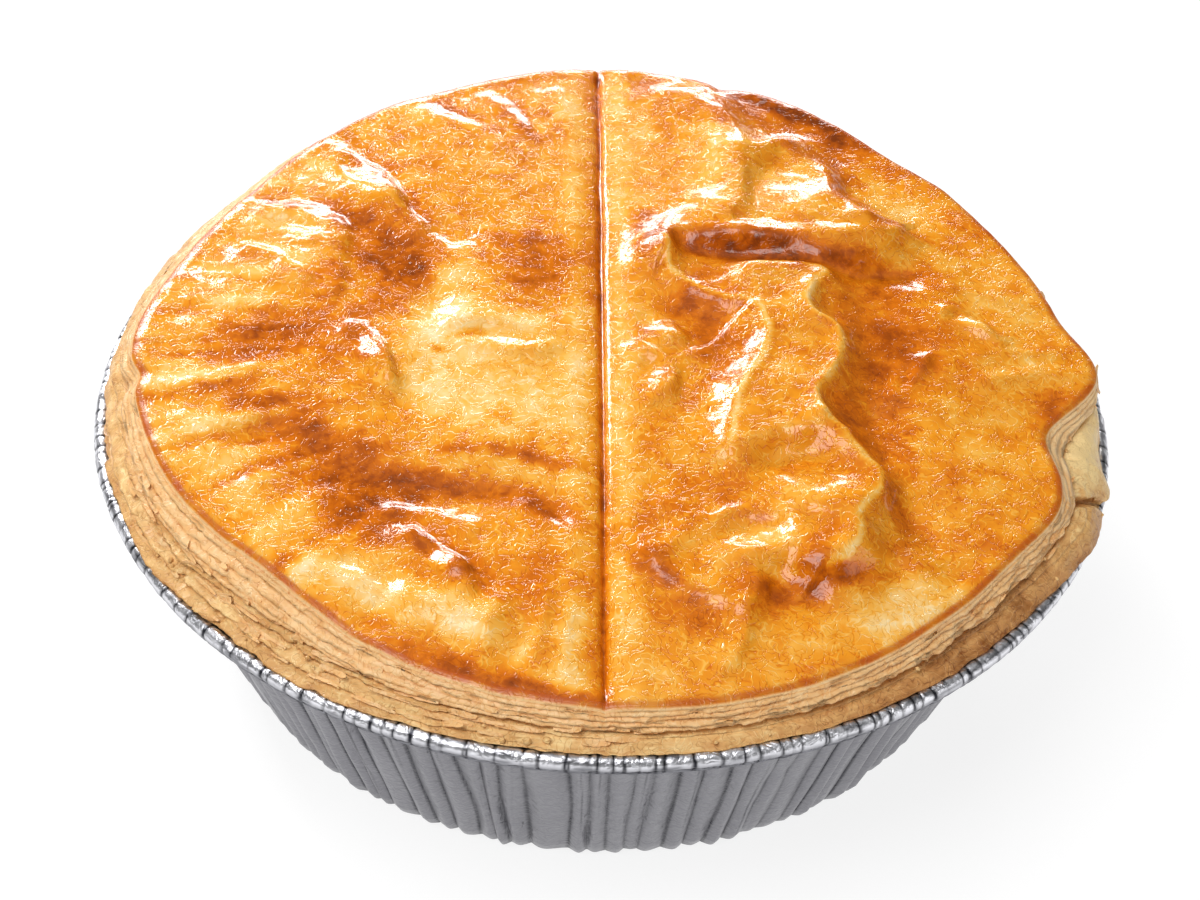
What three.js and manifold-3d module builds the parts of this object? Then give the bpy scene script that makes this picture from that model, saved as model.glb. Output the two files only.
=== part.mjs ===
// A round meat and onion pie, baked and served in its own foil tray.
// Millimetres, +Z up. The origin is the middle of the tray's base, on the surface that it stands on.
// The line pressed across the lid runs along Y, and -Y is the front.
// Three pieces: the fluted foil tray, the shortcrust case with what it holds, and the puff pastry lid.
import * as THREE from "three";
import { mergeVertices } from "three/addons/utils/BufferGeometryUtils.js";
import Module from "manifold-3d";

const wasm = await Module();
wasm.setup();

const TAU = 2 * Math.PI;
const degrees = THREE.MathUtils.degToRad;
const lerp = THREE.MathUtils.lerp;

// Driving dimensions of the tray: a five inch pie foil.
const RIM_RADIUS = 63.5;
const RIM_HEIGHT = 30.7;
const BEAD_RADIUS = 1;
const BASE_RADIUS = 47.9;
const BASE_CORNER = 0.8;
const FOIL = 0.4;
const FLUTES = 120;
const FLUTE_DEPTH = 0.55;
const FLUTE_FADE = 2.6;

// Driving dimensions of the pastry.
const GAP = 0.3;
const EDGE_RADIUS = 58;
const EDGE_HEIGHT = 39.6;
const EDGE_TILT = 3.9;
const LID_THICKNESS = 2.4;
const DOME = 2.5;
const DOME_POWER = 3;
const RIM_CLEARANCE = 1.3;

// Driving dimensions of the line pressed across the lid.
const LINE_OFFSET = -0.6;
const LINE_HALF_WIDTH = 3.2;
const LINE_DEPTH = 1.7;
const PRESSED_FLAT = 7;

const WALL_TOP = RIM_HEIGHT - 1.4;
const WALL_TOP_RADIUS = 59;
const BEAD_CENTRE = RIM_RADIUS - BEAD_RADIUS;

// ---- Surfaces made of rings ------------------------------------------------------------------

// A ring of points round Z, counted anticlockwise from above. at(angle) gives [radius, height].
function ring(count, at) {
  return Array.from({ length: count }, (_, i) => {
    const angle = (TAU * i) / count;
    const [radius, height] = at(angle);
    return [radius * Math.cos(angle), radius * Math.sin(angle), height];
  });
}

const pole = (height) => [[0, 0, height]];

// The triangles between two rings, which may have different counts.
function band(first, second, firstStart, secondStart) {
  const triangles = [];
  const firstSteps = first.length > 1 ? first.length : 0;
  const secondSteps = second.length > 1 ? second.length : 0;
  let i = 0;
  let j = 0;
  while (i < firstSteps || j < secondSteps) {
    const a = firstStart + (i % first.length);
    const b = secondStart + (j % second.length);
    const firstIsBehind = (i + 1) * secondSteps <= (j + 1) * firstSteps;
    if (i < firstSteps && (j === secondSteps || firstIsBehind)) {
      triangles.push(a, firstStart + ((i + 1) % first.length), b);
      i += 1;
    } else {
      triangles.push(a, secondStart + ((j + 1) % second.length), b);
      j += 1;
    }
  }
  return triangles;
}

// One closed surface through rings that start at a pole below and end at a pole above.
function skin(rings) {
  const positions = [];
  const index = [];
  const starts = rings.map((points) => {
    const start = positions.length / 3;
    positions.push(...points.flat());
    return start;
  });
  for (let k = 0; k + 1 < rings.length; k += 1) {
    index.push(...band(rings[k], rings[k + 1], starts[k], starts[k + 1]));
  }
  const geometry = new THREE.BufferGeometry();
  geometry.setAttribute("position", new THREE.Float32BufferAttribute(positions, 3));
  geometry.setIndex(index);
  return geometry;
}

function solidOf(geometry) {
  return new wasm.Manifold(
    new wasm.Mesh({
      numProp: 3,
      vertProperties: geometry.attributes.position.array,
      triVerts: new Uint32Array(geometry.index.array),
    }),
  );
}

function geometryOf(solid) {
  const mesh = solid.getMesh();
  const geometry = new THREE.BufferGeometry();
  geometry.setAttribute("position", new THREE.BufferAttribute(mesh.vertProperties, 3));
  geometry.setIndex(new THREE.BufferAttribute(mesh.triVerts, 1));
  return geometry;
}

function cut(geometry, tool) {
  return geometryOf(solidOf(geometry).subtract(solidOf(tool)));
}

// ---- Foil tray -------------------------------------------------------------------------------

// The wall's mean radius at a height.
function wallRadius(height) {
  return lerp(BASE_RADIUS, WALL_TOP_RADIUS, height / WALL_TOP);
}

// Flutes differ a little in depth round the tray, as pressed foil does.
function fluteDepth(angle) {
  return FLUTE_DEPTH * (1 + 0.25 * Math.sin(7 * angle) + 0.2 * Math.sin(17 * angle + 1));
}

function flutedRing(height, inset) {
  return ring(2 * FLUTES, (angle) => {
    const flute = fluteDepth(angle) * Math.cos(FLUTES * angle);
    return [wallRadius(height) + flute - inset, height];
  });
}

function beadRing(turn) {
  const angle = degrees(turn);
  return ring(72, () => [
    BEAD_CENTRE + BEAD_RADIUS * Math.cos(angle),
    RIM_HEIGHT + BEAD_RADIUS * Math.sin(angle),
  ]);
}

function foilTray() {
  const round = (count, radius, height) => ring(count, () => [radius, height]);
  const lowest = BASE_CORNER + FLUTE_FADE;
  const highest = WALL_TOP - FLUTE_FADE;
  const outerWall = [
    round(FLUTES, BASE_RADIUS, BASE_CORNER),
    flutedRing(lowest, 0),
    flutedRing(highest, 0),
    round(FLUTES, WALL_TOP_RADIUS, WALL_TOP),
  ];
  const innerWall = [
    round(FLUTES, WALL_TOP_RADIUS - FOIL, WALL_TOP + FOIL),
    flutedRing(highest, FOIL),
    flutedRing(lowest, FOIL),
  ];
  return skin([
    pole(0),
    round(60, BASE_RADIUS - BASE_CORNER, 0),
    ...outerWall,
    ...[-90, -30, 30, 90, 150, 210].map(beadRing),
    ...innerWall,
    round(60, BASE_RADIUS - BASE_CORNER - FOIL, FOIL),
    pole(FOIL),
  ]);
}

// ---- Lid outline and heights -----------------------------------------------------------------

// A smooth bump of height 1 at the middle angle, gone at about twice the half width. Angles in degrees.
function lobe(angle, middle, halfWidth) {
  const away = THREE.MathUtils.euclideanModulo(angle - degrees(middle) + Math.PI, TAU) - Math.PI;
  return Math.exp(-((away / degrees(halfWidth)) ** 2));
}

// Where the lid's edge stands out from its mean radius, or falls short: [angle, half width, amount].
const EDGE_LOBES = [
  [-2, 7, 3],
  [-14, 6, -3],
  [-26, 8, 1.6],
  [28, 10, -1.2],
  [46, 9, -1.6],
  [66, 7, 0.8],
  [73.5, 2, -1.4],
  [90, 16, 1.4],
  [148, 20, -2.6],
  [180, 9, 0.9],
  [186, 2, -1],
  [226, 18, -2.7],
  [290, 30, 1.2],
];

function lidRadius(angle) {
  return EDGE_LOBES.reduce(
    (radius, [middle, halfWidth, amount]) => radius + amount * lobe(angle, middle, halfWidth),
    EDGE_RADIUS,
  );
}

// The plane through the lid's edge, which rose higher at the back than at the front.
const edgePlane = (y) => EDGE_HEIGHT + (EDGE_TILT * y) / EDGE_RADIUS;

function domeHeight(x, y) {
  const share = Math.min(1, Math.hypot(x, y) / lidRadius(Math.atan2(y, x)));
  return edgePlane(y) + DOME * (1 - share ** DOME_POWER);
}

// ---- Folds in the lid ------------------------------------------------------------------------

// Each fold is a crest through a few points. Its height falls off over one width on the left of the
// way it runs, and over another on the right. A negative height is a valley.
const FOLDS = [
  {
    crest: [[8, 18], [8, 12], [14, 6.5], [19, 2], [19, -5], [15.5, -12], [15, -20]],
    height: 1.3,
    left: 6,
    right: 2.4,
  },
  {
    crest: [[20, 12.5], [28, 11.5], [25, 5], [28.5, -3], [25, -12], [30.5, -22], [31, -28], [24, -39]],
    height: 2.2,
    left: 2.4,
    right: 7,
  },
  { crest: [[8, 19], [14, 21.5], [24, 18.5], [31, 16.8], [39, 21]], height: 1.5, left: 5, right: 2.2 },
  { crest: [[11, 48], [14, 38], [12, 24]], height: 1, left: 5, right: 5 },
  { crest: [[24, 39], [29, 26]], height: 1.6, left: 4, right: 4 },
  { crest: [[10, 16], [22, 15], [37, 15]], height: -1.1, left: 3, right: 3 },
  { crest: [[8, 6], [12, -2], [9, -12]], height: -1, left: 5, right: 5 },
  { crest: [[34, 12], [33, 0], [33, -14]], height: -1, left: 5, right: 6 },
  { crest: [[9, -38], [15, -45], [15, -51]], height: 1.2, left: 4, right: 3 },
  { crest: [[11, -35], [18, -33], [20, -38]], height: 1.1, left: 4, right: 5 },
  { crest: [[-35, 41], [-30, 31], [-23, 21]], height: 1.6, left: 3, right: 6 },
  { crest: [[-46, 25], [-38, 21], [-33, 12]], height: 1.3, left: 3, right: 6 },
  { crest: [[-24, 47], [-12, 38]], height: 1.2, left: 3, right: 4 },
  { crest: [[-22, 51], [-11, 41]], height: -0.8, left: 3, right: 3 },
  { crest: [[-55, -14], [-40, -15]], height: 1, left: 3, right: 3 },
  { crest: [[-27, 12], [-24, 0], [-30, -20]], height: -1, left: 6, right: 6 },
  { crest: [[-30, -44], [-26, -41], [-18, -42]], height: -0.9, left: 3, right: 3 },
  { crest: [[-38, -37], [-30, -34], [-18, -37], [-8, -33]], height: 1.1, left: 4, right: 4 },
  { crest: [[-20, -22], [-10, -26], [-4, -33]], height: 0.9, left: 4, right: 4 },
];
const CREST_STEPS = 24;
const FOLD_ENDS = 5;

const crestLines = FOLDS.map(({ crest }) => {
  const points = crest.map(([x, y]) => new THREE.Vector2(x, y));
  return new THREE.SplineCurve(points).getPoints(CREST_STEPS);
});

// How far a point lies from a crest, positive on its left, and how far past the crest's ends it is.
function fromCrest(point, line) {
  let nearest = { distance: Infinity, past: 0 };
  for (let k = 0; k + 1 < line.length; k += 1) {
    const along = line[k + 1].clone().sub(line[k]);
    const offset = point.clone().sub(line[k]);
    const share = offset.dot(along) / along.lengthSq();
    const onLine = line[k].clone().addScaledVector(along, THREE.MathUtils.clamp(share, 0, 1));
    const distance = point.distanceTo(onLine);
    if (distance < Math.abs(nearest.distance)) {
      const isLeft = along.cross(offset) > 0;
      const isPastEnd = (k === 0 && share < 0) || (k + 2 === line.length && share > 1);
      nearest = {
        distance: isLeft ? distance : -distance,
        past: isPastEnd ? Math.abs(share < 0 ? share : share - 1) * along.length() : 0,
      };
    }
  }
  return nearest;
}

function foldHeight(x, y) {
  const point = new THREE.Vector2(x, y);
  const total = FOLDS.reduce((sum, { height, left, right }, k) => {
    const { distance, past } = fromCrest(point, crestLines[k]);
    const width = distance > 0 ? left : right;
    return sum + height * Math.exp(-((distance / width) ** 2) - (past / FOLD_ENDS) ** 2);
  }, 0);
  const fromLine = Math.abs(x - LINE_OFFSET) / PRESSED_FLAT;
  return total * THREE.MathUtils.smoothstep(fromLine, 0.35, 1);
}

// ---- Puff pastry lid -------------------------------------------------------------------------

const LID_RINGS = 21;
const RING_CORNERS = 6;
const EDGE_COUNT = LID_RINGS * RING_CORNERS;

// The side's layers lean out below the browned edge, most of all on the left.
const sideFlare = (angle) => 0.7 + 2.5 * lobe(angle, 222, 28) + 1.6 * lobe(angle, 150, 26);

// The side's two thick layers, from the bottom up: [share of the flare, height above the lid's bottom].
const LAYERS = [
  [0.9, 0],
  [1, 0.9],
  [0.5, 1.1],
  [0.5, 2],
];

const lidBottom = (angle) => edgePlane(lidRadius(angle) * Math.sin(angle)) - LID_THICKNESS;

function topRing(step) {
  const share = step / LID_RINGS;
  return ring(step * RING_CORNERS, (angle) => {
    const radius = share * lidRadius(angle);
    const x = radius * Math.cos(angle);
    const y = radius * Math.sin(angle);
    const fade = 1 - share ** 8;
    return [radius, domeHeight(x, y) + fade * foldHeight(x, y)];
  });
}

// A blade with round shoulders, long enough to cross the lid, that follows the lid's dome.
function pressingBlade() {
  const half = [
    [0, -LINE_DEPTH],
    [0.35, -1.1],
    [1, -0.65],
    [2, -0.2],
    [LINE_HALF_WIDTH, 0.15],
    [LINE_HALF_WIDTH, 8],
  ];
  const right = half.map(([across, up]) => new THREE.Vector2(across, up));
  const left = half.slice(1).reverse().map(([across, up]) => new THREE.Vector2(-across, up));
  const outline = [...right, ...left];
  const steps = 24;
  const reach = EDGE_RADIUS + 6;
  const positions = [];
  const index = [];
  for (let k = 0; k <= steps; k += 1) {
    const y = lerp(-reach, reach, k / steps);
    const lift = domeHeight(0, y);
    outline.forEach((p) => positions.push(LINE_OFFSET + p.x, y, lift + p.y));
  }
  const count = outline.length;
  for (let k = 0; k < steps; k += 1) {
    for (let i = 0; i < count; i += 1) {
      const a = k * count + i;
      const b = k * count + ((i + 1) % count);
      index.push(a, a + count, b, b, a + count, b + count);
    }
  }
  const last = steps * count;
  THREE.ShapeUtils.triangulateShape(outline, []).forEach(([a, b, c]) => {
    index.push(a, b, c, last + a, last + c, last + b);
  });
  const geometry = new THREE.BufferGeometry();
  geometry.setAttribute("position", new THREE.Float32BufferAttribute(positions, 3));
  geometry.setIndex(index);
  return geometry;
}

// The surface a given depth below the dome, out as far as the lid's edge begins to turn down.
function underRing(step, depth) {
  return ring(step * RING_CORNERS, (angle) => {
    const radius = (step / LID_RINGS) * lidRadius(angle);
    return [radius, domeHeight(radius * Math.cos(angle), radius * Math.sin(angle)) - depth];
  });
}

function pastryLid() {
  const underside = [8, 15].map((step) => underRing(step, LID_THICKNESS));
  const side = LAYERS.map(([out, up]) =>
    ring(EDGE_COUNT, (angle) => [lidRadius(angle) + out * sideFlare(angle), lidBottom(angle) + up]),
  );
  const top = Array.from({ length: LID_RINGS }, (_, k) => topRing(LID_RINGS - k));
  const foot = pole(domeHeight(0, 0) - LID_THICKNESS);
  const middle = pole(domeHeight(0, 0) + foldHeight(0, 0));
  return cut(skin([foot, ...underside, ...side, ...top, middle]), pressingBlade());
}

// ---- Shortcrust case -------------------------------------------------------------------------

const CASE_COUNT = 72;

// The collar leans over the tray's rim on the right, beside the dip in the lid.
const overhang = (angle) => 1.7 * lobe(angle, -20, 12);

// It bellies out most at the back left, where the lid sits well inside the rim.
const belly = (angle) => 0.3 + 1.7 * lobe(angle, 152, 30);

function collarRing(share, bulge) {
  return ring(CASE_COUNT, (angle) => {
    const top = lidBottom(angle) - GAP;
    const foot = RIM_HEIGHT + RIM_CLEARANCE + 0.3 * overhang(angle);
    const outer = BEAD_CENTRE - 0.9 + overhang(angle);
    const inner = lidRadius(angle) + 0.9 * sideFlare(angle) - 0.4;
    return [lerp(outer, inner, share) + bulge * belly(angle), lerp(foot, top, share)];
  });
}

// A slit where the collar has cracked open on the right, as a thin upright wedge.
function collarCrack() {
  const wedge = new THREE.Shape([
    new THREE.Vector2(57, 0),
    new THREE.Vector2(66, -0.9),
    new THREE.Vector2(66, 0.9),
  ]);
  const geometry = new THREE.ExtrudeGeometry(wedge, { depth: 12, bevelEnabled: false });
  geometry.translate(0, 0, RIM_HEIGHT);
  geometry.rotateZ(degrees(-25.5));
  geometry.deleteAttribute("normal");
  geometry.deleteAttribute("uv");
  return mergeVertices(geometry);
}

function pastryCase() {
  const clearOf = FOIL + FLUTE_DEPTH + FOIL + GAP;
  const wallAt = (height) => ring(CASE_COUNT, () => [wallRadius(height) - clearOf, height]);
  const neck = ring(CASE_COUNT, () => [WALL_TOP_RADIUS - FOIL - 2 * GAP, WALL_TOP + 0.4]);
  const underLid = [15, 8].map((step) => underRing(step, LID_THICKNESS + GAP));
  const rings = [
    pole(FOIL + GAP),
    ring(CASE_COUNT, () => [BASE_RADIUS - BASE_CORNER - 2, FOIL + GAP]),
    wallAt(BASE_CORNER + 1),
    wallAt(WALL_TOP - 0.5),
    neck,
    collarRing(0, 0),
    collarRing(0.5, 1),
    collarRing(1, 0),
    ...underLid,
    pole(domeHeight(0, 0) - LID_THICKNESS - GAP),
  ];
  return cut(skin(rings), collarCrack());
}

// ---- The pie ---------------------------------------------------------------------------------

function piece(name, geometry, colour, roughness, metalness) {
  geometry.computeVertexNormals();
  const material = new THREE.MeshStandardMaterial({ color: colour, roughness, metalness });
  const mesh = new THREE.Mesh(geometry, material);
  mesh.name = name;
  return mesh;
}

const pie = new THREE.Group();
pie.add(
  piece("foil_tray", foilTray(), 0xb9bcc0, 0.3, 1),
  piece("pastry_case", pastryCase(), 0xe3b878, 0.75, 0),
  piece("pastry_lid", pastryLid(), 0xd9832b, 0.35, 0),
);

export default pie;
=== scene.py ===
import itertools
import math

import bpy
import numpy as np
from mathutils import Matrix, Vector


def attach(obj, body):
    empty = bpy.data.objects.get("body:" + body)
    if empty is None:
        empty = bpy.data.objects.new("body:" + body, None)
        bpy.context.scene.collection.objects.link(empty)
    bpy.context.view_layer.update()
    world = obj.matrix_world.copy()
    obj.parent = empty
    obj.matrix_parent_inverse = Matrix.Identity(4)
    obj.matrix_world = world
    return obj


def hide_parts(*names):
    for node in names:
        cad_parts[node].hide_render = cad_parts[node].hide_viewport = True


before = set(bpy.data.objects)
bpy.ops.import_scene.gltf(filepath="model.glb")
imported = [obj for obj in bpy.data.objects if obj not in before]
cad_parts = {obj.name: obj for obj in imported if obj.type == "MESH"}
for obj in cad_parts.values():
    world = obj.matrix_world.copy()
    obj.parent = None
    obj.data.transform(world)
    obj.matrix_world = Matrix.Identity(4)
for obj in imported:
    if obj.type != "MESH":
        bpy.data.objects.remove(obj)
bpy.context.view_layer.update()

# ---- Sizes of the pie, in millimetres ----

MM = 0.001
RIM_RADIUS = 63.5
RIM_HEIGHT = 30.7
BEAD_RADIUS = 1.0
BEAD_CENTRE = RIM_RADIUS - BEAD_RADIUS
BASE_RADIUS = 47.9
WALL_FOOT = 0.5
WALL_TOP = 29.3
WALL_TOP_RADIUS = 59.0
WALL_MIDDLE_RADIUS = 53.0
FLUTES = 120
EDGE_RADIUS = 58.0
EDGE_HEIGHT = 39.6
EDGE_TILT = 3.9
LID_THICKNESS = 2.4
DOME = 2.5
LINE_X = -0.6

# ---- Small helpers for shapes ----

HASH_STEPS = (374761393, 668265263, 2147483647)
HASH_SEED_STEP = 974634777
HASH_SPREAD = 1274126177
HASH_MASK = 0xFFFFFF
LUMP_GAIN = 1.7
CREASE_GAIN = 2.2


def hashed(cells, seed):
    """A repeatable number from 0 to 1 for each whole-number cell."""
    mixed = sum(cells[:, k] * step for k, step in enumerate(HASH_STEPS)) + seed * HASH_SEED_STEP
    mixed = (mixed ^ (mixed >> 13)) * HASH_SPREAD
    mixed = mixed ^ (mixed >> 16)
    return (mixed & HASH_MASK) / HASH_MASK


def lumps(points, size, seed=0):
    """Smooth lumps about size across, mostly within -1 to 1, at points or a pair (x, y)."""
    if isinstance(points, tuple):
        points = np.stack(np.broadcast_arrays(*points, 0.0), axis=-1).reshape(-1, 3)
    places = points / size
    low = np.floor(places).astype(np.int64)
    part = places - low
    ease = part**3 * (part * (part * 6 - 15) + 10)
    total = np.zeros(len(places))
    for corner in itertools.product((0, 1), repeat=3):
        step = np.array(corner)
        weight = np.prod(np.where(step, ease, 1 - ease), axis=1)
        slope = np.stack([hashed(low + step, seed * 3 + k) for k in range(3)], axis=1) * 2 - 1
        total += weight * ((part - step) * slope).sum(axis=1)
    return total * LUMP_GAIN


def creases(points, size, seed=0):
    """Sharp crests on soft valleys, from 0 to 1."""
    return 1 - np.minimum(1, np.abs(lumps(points, size, seed)) * CREASE_GAIN)


def bump(distance, width, power=2.0):
    """1 at no distance, fading to nothing past about twice the width."""
    return np.exp(-((np.abs(distance) / width) ** power))


def smooth(low, high, value):
    """0 below low, 1 above high, and a smooth rise between."""
    share = np.clip((value - low) / (high - low), 0, 1)
    return share * share * (3 - 2 * share)


def lobe(angle, middle, half_width):
    """A smooth bump at the middle angle. middle and half_width are in degrees."""
    away = (angle - math.radians(middle) + math.pi) % (2 * math.pi) - math.pi
    return np.exp(-((away / math.radians(half_width)) ** 2))


def lobes(angle, rows, start=0.0):
    """start and a lobe for each row of middle, half width and height."""
    return sum((height * lobe(angle, middle, wide) for middle, wide, height in rows), start)


def read_points(piece):
    flat = np.empty(len(piece.data.vertices) * 3)
    piece.data.vertices.foreach_get("co", flat)
    return flat.reshape(-1, 3)


def write_points(piece, points):
    """Moves the piece's points to places given in millimetres."""
    flat = np.ascontiguousarray(points * MM, dtype=np.float32).ravel()
    piece.data.vertices.foreach_set("co", flat)
    piece.data.update()


def write_ring_points(piece, angle, out, z):
    write_points(piece, np.stack([out * np.cos(angle), out * np.sin(angle), z], axis=1))


def write_shades(piece, shades):
    """Stores numbers by name for each point of the piece, for its material to read."""
    for name, values in shades.items():
        layer = piece.data.attributes.new(name, "FLOAT", "POINT")
        layer.data.foreach_set("value", np.ascontiguousarray(values, dtype=np.float32))


def deselect():
    bpy.ops.object.select_all(action="DESELECT")


def take(piece):
    deselect()
    piece.select_set(True)
    bpy.context.view_layer.objects.active = piece


def edit(piece):
    take(piece)
    bpy.ops.object.mode_set(mode="EDIT")
    bpy.ops.mesh.select_all(action="SELECT")


def leave():
    bpy.ops.object.mode_set(mode="OBJECT")


def new_piece(name):
    piece = bpy.context.object
    piece.name = name
    piece.data.name = name
    return piece


def ring_rows(rows):
    """Draws the selected ring of edges down by one for each row."""
    for _ in range(rows):
        bpy.ops.mesh.extrude_edges_move(TRANSFORM_OT_translate={"value": (0, 0, -1)})


def finish_piece(piece, smooth_angle=None):
    """Merges doubles, turns faces outwards and shades the piece."""
    edit(piece)
    bpy.ops.mesh.remove_doubles(threshold=1e-7)
    bpy.ops.mesh.normals_make_consistent(inside=False)
    leave()
    if smooth_angle is None:
        bpy.ops.object.shade_smooth()
    else:
        bpy.ops.object.shade_smooth_by_angle(angle=math.radians(smooth_angle))
    return piece


# ---- The lid's outline and heights, as in the CAD model ----

# The middle, half width and height of each swelling of the outline.
EDGE_LOBES = ((-2, 7, 3.0), (-14, 6, -3.0), (-26, 8, 1.6), (28, 10, -1.2), (46, 9, -1.6),
              (66, 7, 0.8), (73.5, 2, -1.4), (90, 16, 1.4), (148, 20, -2.6), (180, 9, 0.9),
              (186, 2, -1.0), (226, 18, -2.7), (290, 30, 1.2))


def lid_radius(angle):
    return EDGE_RADIUS + lobes(angle, EDGE_LOBES)


def edge_plane(y):
    return EDGE_HEIGHT + EDGE_TILT * y / EDGE_RADIUS


def dome_height(x, y):
    share = np.minimum(1, np.hypot(x, y) / lid_radius(np.arctan2(y, x)))
    return edge_plane(y) + DOME * (1 - share**3)


def side_flare(angle):
    """How far the foot of the lid's side stands out past its edge."""
    return lobes(angle, ((222, 28, 2.5), (150, 26, 1.6)), 0.7)


def lid_bottom(angle):
    return edge_plane(lid_radius(angle) * np.sin(angle)) - LID_THICKNESS


# ---- Folds in the lid ----

LEFT_CREST = [(7.5, 16), (8, 12.5), (10, 9.5), (14, 6.5), (18, 4), (19.7, 0), (19, -5), (16, -12),
              (14.5, -20)]
RIGHT_CREST = [(18, 11.5), (22, 12.6), (26.5, 12.8), (28, 11.4), (26.5, 8.5), (25.2, 5), (26, 2.5),
               (28.3, 0), (28.5, -5), (26.5, -9.5), (25, -12.5), (26, -17), (29.5, -21.5),
               (31.5, -25), (31, -28.5), (29.3, -32), (28.5, -36), (25, -39.5)]
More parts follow.
